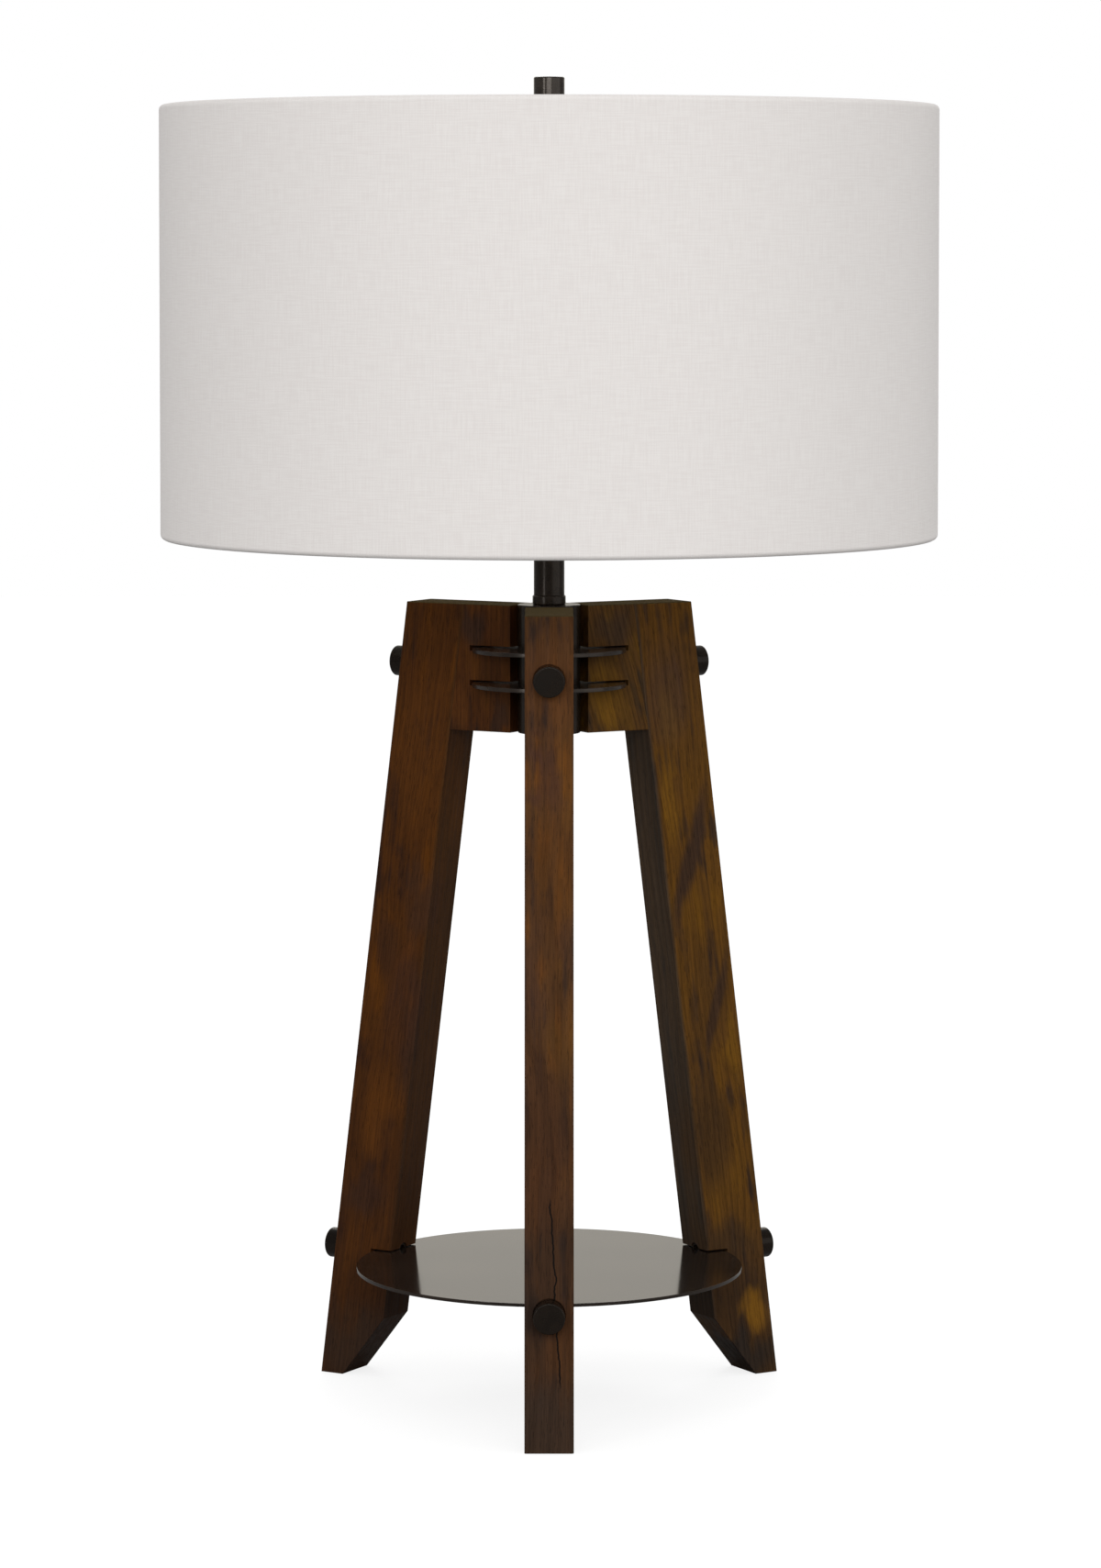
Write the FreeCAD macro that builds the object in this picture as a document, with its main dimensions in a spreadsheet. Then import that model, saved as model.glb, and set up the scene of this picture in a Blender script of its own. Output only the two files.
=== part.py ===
import FreeCAD, Part

import math
import os

import Sketcher

# Table lamp: three slanted walnut legs with glued arms that meet a dark metal hub, two round
# plates in slots of the arms, a round shelf in slots low on the legs, a metal stem, a lamp
# holder with a harp, and a linen drum shade held by a finial.
# Millimetres, Z up, origin on the floor under the hub's axis, front leg towards -Y.

# Driving sizes: name, millimetres, what it is

SIZES = (
    ("foot_radius", 152.0, "axis to a leg's outer face at the floor"),
    ("leg_height", 470.6, "floor to the leg tops"),
    ("leg_width", 40.0, "leg across its slanted faces, measured level"),
    ("leg_thickness", 28.0, "leg across its flat sides"),
    ("foot_flat", 15.5, "level length of a foot on the floor"),
    ("foot_cut_height", 36.6, "top of the diagonal cut behind a foot"),
    ("leg_edge_round", 1.0, "rounding of the leg's outer edges"),
    ("arm_top_length", 31.7, "level length of an arm block at the leg tops"),
    ("arm_height", 75.3, "height of an arm block"),
    ("arm_hub_gap", 0.1, "arm's inner end to the hub"),
    ("hub_diameter", 36.8, "hub post"),
    ("hub_rise", 0.6, "hub top over the leg tops"),
    ("plate_leg_gap", 4.7, "plates' edge to the legs' inner faces at the leg tops"),
    ("plate_thickness", 2.4, "upper and lower plates"),
    ("plate_pitch", 20.6, "upper plate to lower plate, middle to middle"),
    ("plate_slot_gap", 0.7, "slot height over the plate"),
    ("plate_slot_end_gap", 0.6, "slot end past the plate's edge"),
    ("plate_hub_play", 0.2, "plate bore round the hub, radial"),
    ("arm_bolt_drop", 36.8, "leg top to the arm bolt's axis"),
    ("bolt_head_diameter", 18.0, "knob head"),
    ("bolt_head_length", 12.0, "knob head"),
    ("bolt_head_round", 0.8, "knob head's front edge"),
    ("bolt_shank_diameter", 6.0, "bolt shank"),
    ("bolt_seat_depth", 1.4, "flat seat under a head, cut into the slanted face"),
    ("bolt_seat_play", 0.3, "seat round the head, radial"),
    ("bolt_hole_play", 0.25, "wood hole round a shank, radial"),
    ("thread_play", 0.05, "threaded hole round its screw, radial"),
    ("bolt_tip_gap", 1.5, "arm bolt's tip to the hub's bore"),
    ("shelf_grip", 12.6, "shelf's edge past the legs' inner faces"),
    ("shelf_thickness", 2.0, "shelf plate"),
    ("shelf_height", 75.9, "floor to the shelf's underside"),
    ("shelf_slot_gap", 0.6, "slot height over the shelf"),
    ("shelf_slot_end_gap", 1.5, "slot end past the shelf's edge"),
    ("barrel_diameter", 8.6, "threaded barrel in the shelf's edge"),
    ("barrel_length", 18.0, "threaded barrel"),
    ("barrel_inset", 0.4, "barrel's end behind the leg's inner face"),
    ("barrel_play", 0.2, "wood hole and shelf notch round a barrel, radial"),
    ("shelf_bolt_reach", 14.0, "shelf bolt's length inside its barrel"),
    ("collar_diameter", 19.6, "ring at the foot of the stem"),
    ("collar_height", 5.4, "ring at the foot of the stem"),
    ("collar_round", 0.8, "upper edge of that ring"),
    ("stem_diameter", 18.1, "stem tube"),
    ("stem_wall", 1.2, "stem tube"),
    ("stem_length", 53.4, "stem tube"),
    ("neck_diameter", 20.0, "ring on the stem's top"),
    ("neck_height", 4.0, "ring on the stem's top"),
    ("pipe_diameter", 9.7, "threaded lamp pipe"),
    ("pipe_bore", 7.0, "threaded lamp pipe"),
    ("pipe_play", 0.25, "plain holes round the pipe, radial"),
    ("washer_diameter", 22.0, "washer under the hub"),
    ("washer_thickness", 1.5, "washer under the hub"),
    ("nut_width", 14.3, "pipe nut across its flats"),
    ("nut_height", 5.0, "pipe nut"),
    ("bushing_diameter", 13.5, "cord bushing"),
    ("bushing_sleeve", 5.0, "part of the bushing that is screwed on the pipe"),
    ("bushing_lip", 4.0, "part of the bushing below the pipe"),
    ("bushing_bore", 6.4, "cord hole"),
    ("bushing_round", 1.2, "both edges of the bushing's lower end"),
    ("saddle_thickness", 1.5, "harp saddle's strip"),
    ("saddle_width", 12.0, "harp saddle's strip"),
    ("saddle_half_span", 24.0, "axis to the middle of an upturned ear"),
    ("saddle_shoulder", 7.0, "saddle's underside to its shoulders"),
    ("saddle_bend", 2.6, "outer bend of the strip"),
    ("ear_width", 6.0, "narrow top of an ear"),
    ("ear_height", 18.0, "saddle's underside to the ear's top"),
    ("ear_wire_gap", 0.3, "ear's top to the harp's foot"),
    ("ferrule_diameter", 8.6, "sleeve that locks the harp"),
    ("ferrule_bore", 6.8, "sleeve that locks the harp"),
    ("ferrule_length", 14.0, "sleeve that locks the harp"),
    ("ferrule_round", 0.4, "edges of that sleeve"),
    ("seat_gap", 0.1, "between seated pieces that move on each other"),
    ("harp_height", 216.0, "saddle's underside to the shade's seat"),
    ("harp_wire", 3.6, "harp's wire"),
    ("harp_half_width", 58.0, "axis to the wire's middle at the widest"),
    ("harp_low_corner", 56.0, "saddle's underside to where the harp spreads"),
    ("harp_wide_corner", 96.0, "saddle's underside to where it runs straight"),
    ("harp_high_corner", 158.0, "saddle's underside to where it closes"),
    ("harp_crown_half", 20.0, "axis to the crown's corner"),
    ("harp_low_bend", 45.0, "radius there"),
    ("harp_wide_bend", 60.0, "radius there"),
    ("harp_high_bend", 70.0, "radius there"),
    ("harp_crown_bend", 25.0, "radius there"),
    ("harp_boss_diameter", 10.0, "flattened crown that holds the stud"),
    ("stud_rivet_diameter", 4.0, "stud's shank in the crown"),
    ("stud_flange_diameter", 9.0, "stud's flange, which carries the shade"),
    ("stud_flange_thickness", 1.2, "stud's flange"),
    ("stud_diameter", 6.35, "stud's thread"),
    ("stud_length", 13.0, "thread over the flange"),
    ("socket_diameter", 32.0, "socket shell"),
    ("socket_shell_wall", 0.6, "socket shell"),
    ("socket_shell_height", 47.0, "socket shell"),
    ("socket_lip", 0.6, "rolled lip at the shell's mouth"),
    ("socket_cap_wall", 0.8, "socket cap"),
    ("socket_cap_height", 20.0, "socket cap with its boss"),
    ("socket_cap_round", 5.0, "socket cap's shoulder"),
    ("socket_cap_overlap", 5.0, "shell inside the cap"),
    ("cap_boss_diameter", 14.0, "threaded boss under the cap"),
    ("cap_boss_height", 4.0, "threaded boss under the cap"),
    ("pipe_in_cap", 6.0, "pipe above the saddle"),
    ("layer_gap", 0.1, "between nested layers"),
    ("insulator_wall", 0.5, "socket insulator"),
    ("insulator_drop", 0.8, "insulator's top under the shell's mouth"),
    ("core_play", 0.3, "insulator round the core, radial"),
    ("core_height", 21.0, "socket core"),
    ("bulb_bore", 26.5, "screw shell's inside"),
    ("screw_shell_wall", 0.4, "screw shell"),
    ("screw_shell_height", 24.6, "screw shell"),
    ("screw_shell_hole", 12.0, "hole in the screw shell's floor"),
    ("screw_shell_round", 1.2, "inside corner between the screw shell's floor and wall"),
    ("contact_diameter", 8.0, "centre contact"),
    ("contact_height", 1.4, "centre contact"),
    ("contact_round", 0.6, "centre contact's edge"),
    ("switch_lift", 10.5, "core's underside to the switch's axis"),
    ("switch_shaft_diameter", 4.0, "switch shaft"),
    ("switch_shaft_start", 3.0, "axis to the shaft's inner end"),
    ("switch_play", 0.06, "core round the shaft, radial"),
    ("switch_window", 7.5, "hole in the shell round the shaft"),
    ("knob_gap", 1.6, "shell to the knob"),
    ("knob_length", 19.0, "switch knob"),
    ("knob_base_diameter", 12.0, "switch knob at the shell"),
    ("knob_tip_diameter", 9.0, "switch knob at its end"),
    ("knob_round", 1.0, "switch knob's end"),
    ("knob_flute_diameter", 2.4, "flutes in the knob"),
    ("knob_hole_depth", 9.0, "shaft inside the knob"),
    ("shade_diameter", 457.2, "shade outside"),
    ("shade_height", 254.0, "shade"),
    ("shade_recess", 14.7, "shade's top over its seat on the stud"),
    ("cloth_thickness", 1.0, "shade cloth"),
    ("liner_thickness", 0.5, "stiff liner behind the cloth"),
    ("shade_layer_gap", 0.3, "glue line between the shade's layers"),
    ("ring_wire", 3.2, "wire of the shade's rings"),
    ("hem_depth", 7.0, "ring's middle to the hem's raw edge"),
    ("spider_washer_diameter", 30.0, "spider's middle"),
    ("spider_washer_thickness", 1.6, "spider's middle"),
    ("spider_hole_play", 0.15, "washer round the stud, radial"),
    ("spoke_wire", 3.4, "spider's spokes"),
    ("spoke_rise_run", 26.0, "level length over which a spoke rises to its ring"),
    ("spoke_bend", 30.0, "radius where a spoke turns up"),
    ("spoke_slit_play", 0.5, "hem slit round a spoke"),
    ("finial_diameter", 18.2, "finial"),
    ("finial_height", 29.7, "finial"),
    ("finial_round", 1.0, "finial's upper edge"),
    ("finial_hole_depth", 13.0, "threaded hole in the finial"),
    ("finial_play", 0.15, "finial's hole round the stud, radial"),
)

# Places worked out from the sizes: name, formula

PLACES = (
    ("arm_tip", "Size.hub_diameter / 2 + Size.arm_hub_gap"),
    ("arm_floor", "Size.leg_height - Size.arm_height"),
    ("leg_inner_top", "arm_tip + Size.arm_top_length"),
    ("leg_top_radius", "leg_inner_top + Size.leg_width"),
    ("leg_slope", "(Size.foot_radius - leg_top_radius) / Size.leg_height"),
    ("leg_inner_at_arm", "Size.foot_radius - Size.leg_width - leg_slope * arm_floor"),
    ("leg_inner_at_cut", "Size.foot_radius - Size.leg_width - leg_slope * Size.foot_cut_height"),
    ("hub_top", "Size.leg_height + Size.hub_rise"),
    ("pipe_hole", "Size.pipe_diameter / 2 + Size.pipe_play"),
    ("arm_bolt_height", "Size.leg_height - Size.arm_bolt_drop"),
    ("arm_bolt_seat", "Size.foot_radius - leg_slope * arm_bolt_height - Size.bolt_seat_depth"),
    ("arm_bolt_tip", "pipe_hole + Size.bolt_tip_gap"),
    ("upper_plate_floor", "arm_bolt_height + (Size.plate_pitch - Size.plate_thickness) / 2"),
    ("lower_plate_floor", "arm_bolt_height - (Size.plate_pitch + Size.plate_thickness) / 2"),
    ("plate_radius", "leg_inner_top - Size.plate_leg_gap"),
    ("plate_slot_end", "plate_radius + Size.plate_slot_end_gap"),
    ("plate_slot_height", "Size.plate_thickness + Size.plate_slot_gap"),
    ("shelf_slot_top", "Size.shelf_height + Size.shelf_thickness + Size.shelf_slot_gap"),
    ("shelf_bolt_height", "Size.shelf_height + Size.shelf_thickness / 2"),
    ("leg_inner_at_shelf", "Size.foot_radius - Size.leg_width - leg_slope * shelf_bolt_height"),
    ("shelf_radius", "leg_inner_at_shelf + Size.shelf_grip"),
    ("shelf_slot_end", "shelf_radius + Size.shelf_slot_end_gap"),
    ("shelf_bolt_seat", "Size.foot_radius - leg_slope * shelf_bolt_height - Size.bolt_seat_depth"),
    ("barrel_start", "leg_inner_at_shelf + Size.barrel_inset"),
    ("barrel_end", "barrel_start + Size.barrel_length"),
    ("barrel_hole", "Size.barrel_diameter / 2 + Size.barrel_play"),
    ("shelf_bolt_tip", "barrel_end - Size.shelf_bolt_reach"),
    ("thread_hole", "Size.bolt_shank_diameter / 2 + Size.thread_play"),
    ("washer_floor", "arm_floor - Size.washer_thickness"),
    ("nut_floor", "washer_floor - Size.nut_height"),
    ("pipe_floor", "nut_floor - Size.bushing_sleeve"),
    ("bushing_floor", "pipe_floor - Size.bushing_lip"),
    ("pipe_thread", "Size.pipe_diameter / 2 + Size.thread_play"),
    ("stem_floor", "hub_top + Size.collar_height"),
    ("stem_top", "stem_floor + Size.stem_length"),
    ("saddle_floor", "stem_top + Size.neck_height"),
    ("saddle_top", "saddle_floor + Size.saddle_thickness"),
    ("ear_top", "saddle_floor + Size.ear_height"),
    ("shoulder_height", "saddle_floor + Size.saddle_shoulder"),
    ("ferrule_floor", "shoulder_height + Size.seat_gap"),
    ("harp_foot", "ear_top + Size.ear_wire_gap"),
    ("shade_seat", "saddle_floor + Size.harp_height"),
    ("stud_flange_floor", "shade_seat - Size.stud_flange_thickness"),
    ("harp_crown", "stud_flange_floor - Size.harp_wire / 2"),
    ("cap_top", "saddle_top + Size.socket_cap_height"),
    ("cap_radius", "Size.socket_diameter / 2 + Size.layer_gap + Size.socket_cap_wall"),
    ("socket_cap_inner_round", "Size.socket_cap_round - Size.socket_cap_wall"),
    ("shell_floor", "cap_top - Size.socket_cap_overlap"),
    ("shell_top", "shell_floor + Size.socket_shell_height"),
    ("shell_bore", "Size.socket_diameter / 2 - Size.socket_shell_wall"),
    ("insulator_radius", "shell_bore - Size.layer_gap"),
    ("insulator_bore", "insulator_radius - Size.insulator_wall"),
    ("core_radius", "insulator_bore - Size.core_play"),
    ("core_top", "shell_floor + Size.core_height"),
    ("screw_shell_radius", "Size.bulb_bore / 2 + Size.screw_shell_wall"),
    ("screw_shell_outer_round", "Size.screw_shell_round + Size.screw_shell_wall"),
    ("switch_height", "shell_floor + Size.switch_lift"),
    ("knob_start", "Size.socket_diameter / 2 + Size.knob_gap"),
    ("knob_end", "knob_start + Size.knob_length"),
    ("shaft_end", "knob_start + Size.knob_hole_depth"),
    ("shade_top", "shade_seat + Size.shade_recess"),
    ("shade_floor", "shade_top - Size.shade_height"),
    ("shade_radius", "Size.shade_diameter / 2"),
    ("liner_radius", "shade_radius - Size.cloth_thickness - Size.shade_layer_gap"),
    ("liner_bore", "liner_radius - Size.liner_thickness"),
    ("ring_radius", "liner_bore - Size.shade_layer_gap - Size.ring_wire / 2"),
    ("ring_inset", "Size.cloth_thickness + Size.shade_layer_gap + Size.ring_wire / 2"),
    ("hem_round_inside", "ring_inset - Size.cloth_thickness"),
    ("hem_outer", "ring_radius - Size.ring_wire / 2 - Size.shade_layer_gap"),
    ("hem_inner", "hem_outer - Size.cloth_thickness"),
    ("hem_edge_outer", "liner_bore - Size.shade_layer_gap"),
    ("hem_edge_inner", "hem_edge_outer - Size.cloth_thickness"),
    ("washer_middle", "shade_seat + Size.seat_gap + Size.spider_washer_thickness / 2"),
    ("spoke_end", "ring_radius - Size.ring_wire / 2 - Size.shade_layer_gap"),
    ("spoke_corner", "spoke_end - Size.spoke_rise_run"),
    ("spoke_start", "Size.spider_washer_diameter / 2 - Size.spoke_wire / 2"),
    ("top_ring_height", "shade_top - ring_inset"),
    ("bottom_ring_height", "shade_floor + ring_inset"),
    ("top_hem_bend", "top_ring_height - Size.ring_wire / 2"),
    ("bottom_hem_bend", "bottom_ring_height + Size.ring_wire / 2"),
    ("finial_floor",
     "shade_seat + Size.seat_gap + Size.spider_washer_thickness + Size.seat_gap"),
    ("finial_top", "finial_floor + Size.finial_height"),
)

# Headings of the three legs about the axis, in degrees

FRONT = -90
LEG_HEADINGS = {"front": FRONT, "rear_right": FRONT + 120, "rear_left": FRONT + 240}
LEG_COUNT = len(LEG_HEADINGS)
KNOB_FLUTE_COUNT = 10
NUT_SIDES = 6

ORIGIN = FreeCAD.Vector()
X_AXIS = FreeCAD.Vector(1, 0, 0)
Z_AXIS = FreeCAD.Vector(0, 0, 1)

doc = FreeCAD.newDocument("table_lamp")
bodies = []


def fill_sheets():
    """Write the sizes as plain numbers and the places as formulas, each with its alias."""
    size_sheet = doc.addObject("Spreadsheet::Sheet", "Size")
    for row, (alias, number, note) in enumerate(SIZES, start=1):
        size_sheet.set(f"A{row}", note)
        size_sheet.set(f"B{row}", str(number))
        size_sheet.setAlias(f"B{row}", alias)
    place_sheet = doc.addObject("Spreadsheet::Sheet", "Place")
    for row, (alias, formula) in enumerate(PLACES, start=1):
        place_sheet.set(f"A{row}", alias.replace("_", " "))
        place_sheet.set(f"B{row}", f"={formula}")
        place_sheet.setAlias(f"B{row}", alias)
    doc.recompute()


def read_cell(cell):
    """Read the number behind a cell's full name, such as Size.leg_width."""
    sheet, alias = cell.split(".")
    return float(doc.getObject(sheet).get(alias))


def new_body(name, heading=0):
    """Start a sub-part, turned by its heading about the lamp's axis."""
    body = doc.addObject("PartDesign::Body", name)
    body.Label = name
    body.Placement = FreeCAD.Placement(ORIGIN, FreeCAD.Rotation(Z_AXIS, heading))
    bodies.append(body)
    return body


def origin_item(body, role):
    """Find one of the body's own planes or axes by its role."""
    return next(item for item in body.Origin.OriginFeatures if item.Role == role)


def new_sketch(body, name, role, lift="", shift_x="", shift_y=""):
    """Put a sketch on one of the body's planes, lifted or shifted by expressions."""
    sketch = body.newObject("Sketcher::SketchObject", f"{body.Name}_{name}")
    sketch.AttachmentSupport = [(origin_item(body, role), "")]
    sketch.MapMode = "FlatFace"
    for axis, expression in (("z", lift), ("x", shift_x), ("y", shift_y)):
        if expression:
            sketch.setExpression(f"AttachmentOffset.Base.{axis}", expression)
    return sketch


def bind(sketch, constraint, name, expression):
    """Add a dimension to a sketch and tie it to an expression."""
    index = sketch.addConstraint(constraint)
    sketch.renameConstraint(index, name)
    sketch.setExpression(f"Constraints.{name}", expression)


def draw_lines(sketch, corners, rounds=None, closed=True):
    """Draw straight runs through corners given as expressions, some of them rounded.

    rounds gives the cell that holds the radius for each rounded corner's number.
    """
    first = sketch.GeometryCount
    count = len(corners)
    turn = 2 * math.pi / count
    marks = [FreeCAD.Vector(math.cos(turn * i), math.sin(turn * i), 0) for i in range(count)]
    runs = count if closed else count - 1
    for i in range(runs):
        sketch.addGeometry(Part.LineSegment(marks[i], marks[(i + 1) % count]))
    joints = runs if closed else runs - 1
    for i in range(joints):
        follower = first + (i + 1) % count
        sketch.addConstraint(Sketcher.Constraint("Coincident", first + i, 2, follower, 1))
    for i, (across, up) in enumerate(corners):
        line, end = (first + i, 1) if i < runs else (first + i - 1, 2)
        label = f"{first + i}"
        bind(sketch, Sketcher.Constraint("DistanceX", line, end, marks[i].x), f"across{label}", across)
        bind(sketch, Sketcher.Constraint("DistanceY", line, end, marks[i].y), f"up{label}", up)
    if not rounds:
        return
    doc.recompute()
    places = [sketch.Geometry[first + i].StartPoint for i in range(runs)]
    places.append(sketch.Geometry[first + runs - 1].EndPoint)
    for corner, cell in rounds.items():
        before = (corner - 1) % count
        radius = read_cell(cell)
        arc = sketch.GeometryCount
        near, far = places[before], places[corner + 1]
        sketch.fillet(first + before, first + corner, near, far, radius, 1, True)
        bind(sketch, Sketcher.Constraint("Radius", arc, radius), f"round{first + corner}", cell)


def draw_circle(sketch, diameter, across="", up=""):
    """Draw a circle of a diameter, at the sketch's origin or at a place."""
    index = sketch.addGeometry(Part.Circle(ORIGIN, Z_AXIS, 1))
    bind(sketch, Sketcher.Constraint("Diameter", index, 2.0), f"diameter{index}", diameter)
    for axis, expression in (("X", across), ("Y", up)):
        if expression:
            bind(sketch, Sketcher.Constraint(f"Distance{axis}", index, 3, 1.0),
                 f"middle{axis.lower()}{index}", expression)
        else:
            onto = -2 if axis == "X" else -1
            sketch.addConstraint(Sketcher.Constraint("PointOnObject", index, 3, onto))


def turn(body, corners, rounds=None, upright=True, lift=""):
    """Turn a profile of (radius, height) corners into a solid about the body's axis.

    A lying profile has (distance along the heading, radius) corners and its axis is lifted.
    """
    sketch = new_sketch(body, "profile", "XZ_Plane", shift_y=lift)
    draw_lines(sketch, corners, rounds)
    feature = body.newObject("PartDesign::Revolution", f"{body.Name}_turned")
    feature.Profile = sketch
    feature.ReferenceAxis = (sketch, ["V_Axis" if upright else "H_Axis"])
    feature.Angle = 360
    return feature


def pad(body, sketch, length, symmetric=False):
    """Extrude a sketch along its normal."""
    feature = body.newObject("PartDesign::Pad", f"{sketch.Name}_pad")
    feature.Profile = sketch
    feature.SideType = "Symmetric" if symmetric else "One side"
    feature.setExpression("Length", length)
    return feature


def cut_through(body, sketch, side):
    """Cut a sketch through the body: both ways, along its normal (ahead) or against it."""
    feature = body.newObject("PartDesign::Pocket", f"{sketch.Name}_cut")
    feature.Profile = sketch
    feature.Type = "ThroughAll"
    feature.SideType = "Symmetric" if side == "both" else "One side"
    feature.Reversed = side == "ahead"
    return feature


def repeat(body, feature, count):
    """Repeat a feature evenly about the body's upright axis."""
    pattern = body.newObject("PartDesign::PolarPattern", f"{feature.Name}_ring")
    pattern.Originals = [feature]
    pattern.Axis = (origin_item(body, "Z_Axis"), [""])
    pattern.Angle = 360
    pattern.Occurrences = count
    body.Tip = pattern
    return pattern


def box_corners(left, right, low, high):
    """Corners of a rectangle from its four expressions."""
    return [(left, low), (right, low), (right, high), (left, high)]


def tube_corners(outer, inner, low, high):
    """Profile corners of a tube from its radii and heights."""
    return [(outer, low), (outer, high), (inner, high), (inner, low)]


def bore_along_heading(body, name, start, diameter, height, side):
    """Drill a level round hole along the heading, from a distance out from the axis."""
    sketch = new_sketch(body, name, "YZ_Plane", lift=start)
    draw_circle(sketch, diameter, up=height)
    return cut_through(body, sketch, side)


def round_edges(body, feature, radius, wanted):
    """Round the edges of a feature that a test picks."""
    doc.recompute()
    names = [f"Edge{i}" for i, edge in enumerate(feature.Shape.Edges, start=1) if wanted(edge)]
    fillet = body.newObject("PartDesign::Fillet", f"{feature.Name}_round")
    fillet.Base = (feature, names)
    fillet.setExpression("Radius", radius)
    return fillet


# Wooden frame


def build_leg(name, heading):
    """Slanted board with a flat foot, a shelf slot, two bolt seats and their holes."""
    body = new_body(name, heading)
    sketch = new_sketch(body, "side", "XZ_Plane")
    draw_lines(sketch, [
        ("Size.foot_radius", "0"),
        ("Place.leg_top_radius", "Size.leg_height"),
        ("Place.leg_inner_top", "Size.leg_height"),
        ("Place.leg_inner_at_cut", "Size.foot_cut_height"),
        ("Size.foot_radius - Size.foot_flat", "0"),
    ])
    board = pad(body, sketch, "Size.leg_thickness", symmetric=True)
    doc.recompute()
    box = board.Shape.BoundBox
    near = read_cell("Size.leg_edge_round")

    def is_outer_long_edge(edge):
        ends = [vertex.Point for vertex in edge.Vertexes]
        is_long = abs(ends[0].z - ends[1].z) > box.ZLength / 2
        return is_long and box.XMax - max(end.x for end in ends) < near

    round_edges(body, board, "Size.leg_edge_round", is_outer_long_edge)
    slot = new_sketch(body, "slot", "XZ_Plane")
    draw_lines(slot, box_corners("0", "Place.shelf_slot_end", "Size.shelf_height",
                                 "Place.shelf_slot_top"))
    cut_through(body, slot, "both")
    for place in ("arm_bolt", "shelf_bolt"):
        seat = f"Place.{place}_seat"
        height = f"Place.{place}_height"
        bore_along_heading(body, f"{place}_seat", seat,
                           "Size.bolt_head_diameter + 2 * Size.bolt_seat_play", height, "ahead")
        bore_along_heading(body, f"{place}_hole", seat,
                           "Size.bolt_shank_diameter + 2 * Size.bolt_hole_play", height, "back")
    bore_along_heading(body, "barrel_hole", "Place.barrel_end", "2 * Place.barrel_hole",
                       "Place.shelf_bolt_height", "back")


def build_arm(name, heading):
    """Block glued inside a leg's top, slotted for the two plates and drilled for its bolt."""
    body = new_body(name, heading)
    sketch = new_sketch(body, "side", "XZ_Plane")
    draw_lines(sketch, [
        ("Place.arm_tip", "Place.arm_floor"),
        ("Place.leg_inner_at_arm", "Place.arm_floor"),
        ("Place.leg_inner_top", "Size.leg_height"),
        ("Place.arm_tip", "Size.leg_height"),
    ])
    pad(body, sketch, "Size.leg_thickness", symmetric=True)
    for level in ("upper", "lower"):
        floor = f"Place.{level}_plate_floor"
        slot = new_sketch(body, f"{level}_slot", "XZ_Plane")
        draw_lines(slot, box_corners("0", "Place.plate_slot_end", floor,
                                     f"{floor} + Place.plate_slot_height"))
        cut_through(body, slot, "both")
    bore_along_heading(body, "bolt_hole", "Place.leg_top_radius",
                       "Size.bolt_shank_diameter + 2 * Size.bolt_hole_play",
                       "Place.arm_bolt_height", "back")


# Metal joints of the frame


def build_hub():
    """Post that the arms meet, bored for the pipe and threaded for the three bolts."""
    body = new_body("hub_post", FRONT)
    turn(body, tube_corners("Size.hub_diameter / 2", "Place.pipe_hole", "Place.arm_floor",
                            "Place.hub_top"))
    hole = bore_along_heading(body, "bolt_thread", "0", "2 * Place.thread_hole",
                              "Place.arm_bolt_height", "ahead")
    repeat(body, hole, LEG_COUNT)


def build_plates():
    """Two thin discs round the hub, in the arms' slots."""
    for level in ("upper", "lower"):
        body = new_body(f"{level}_plate")
        sketch = new_sketch(body, "disc", "XY_Plane", lift=f"Place.{level}_plate_floor")
        draw_circle(sketch, "2 * Place.plate_radius")
        draw_circle(sketch, "Size.hub_diameter + 2 * Size.plate_hub_play")
        pad(body, sketch, "Size.plate_thickness")


def build_bolts(name, place):
    """Three knob-headed bolts, each along its leg's heading."""
    body = new_body(name, FRONT)
    seat = f"Place.{place}_seat"
    tip = f"Place.{place}_tip"
    front = f"{seat} + Size.bolt_head_length"
    bolt = turn(body, [
        (tip, "0"),
        (tip, "Size.bolt_shank_diameter / 2"),
        (seat, "Size.bolt_shank_diameter / 2"),
        (seat, "Size.bolt_head_diameter / 2"),
        (front, "Size.bolt_head_diameter / 2"),
        (front, "0"),
    ], {4: "Size.bolt_head_round"}, upright=False, lift=f"Place.{place}_height")
    repeat(body, bolt, LEG_COUNT)


def build_shelf():
    """Thin round shelf with a notch in its edge for each barrel."""
    body = new_body("shelf_plate", FRONT)
    sketch = new_sketch(body, "disc", "XY_Plane", lift="Size.shelf_height")
    draw_circle(sketch, "2 * Place.shelf_radius")
    pad(body, sketch, "Size.shelf_thickness")
    notch = new_sketch(body, "notch", "XY_Plane", lift="Size.shelf_height")
    draw_lines(notch, box_corners("Place.barrel_start - Size.barrel_play",
                                  "Place.shelf_slot_end",
                                  "-Place.barrel_hole", "Place.barrel_hole"))
    repeat(body, cut_through(body, notch, "ahead"), LEG_COUNT)


def build_barrels():
    """Three threaded barrels that lie in the shelf's notches, inside the legs."""
    body = new_body("shelf_barrels", FRONT)
    barrel = turn(body, [
        ("Place.barrel_start", "Place.thread_hole"),
        ("Place.barrel_end", "Place.thread_hole"),
        ("Place.barrel_end", "Size.barrel_diameter / 2"),
        ("Place.barrel_start", "Size.barrel_diameter / 2"),
    ], upright=False, lift="Place.shelf_bolt_height")
    repeat(body, barrel, LEG_COUNT)


# Stem and pipe


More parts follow.
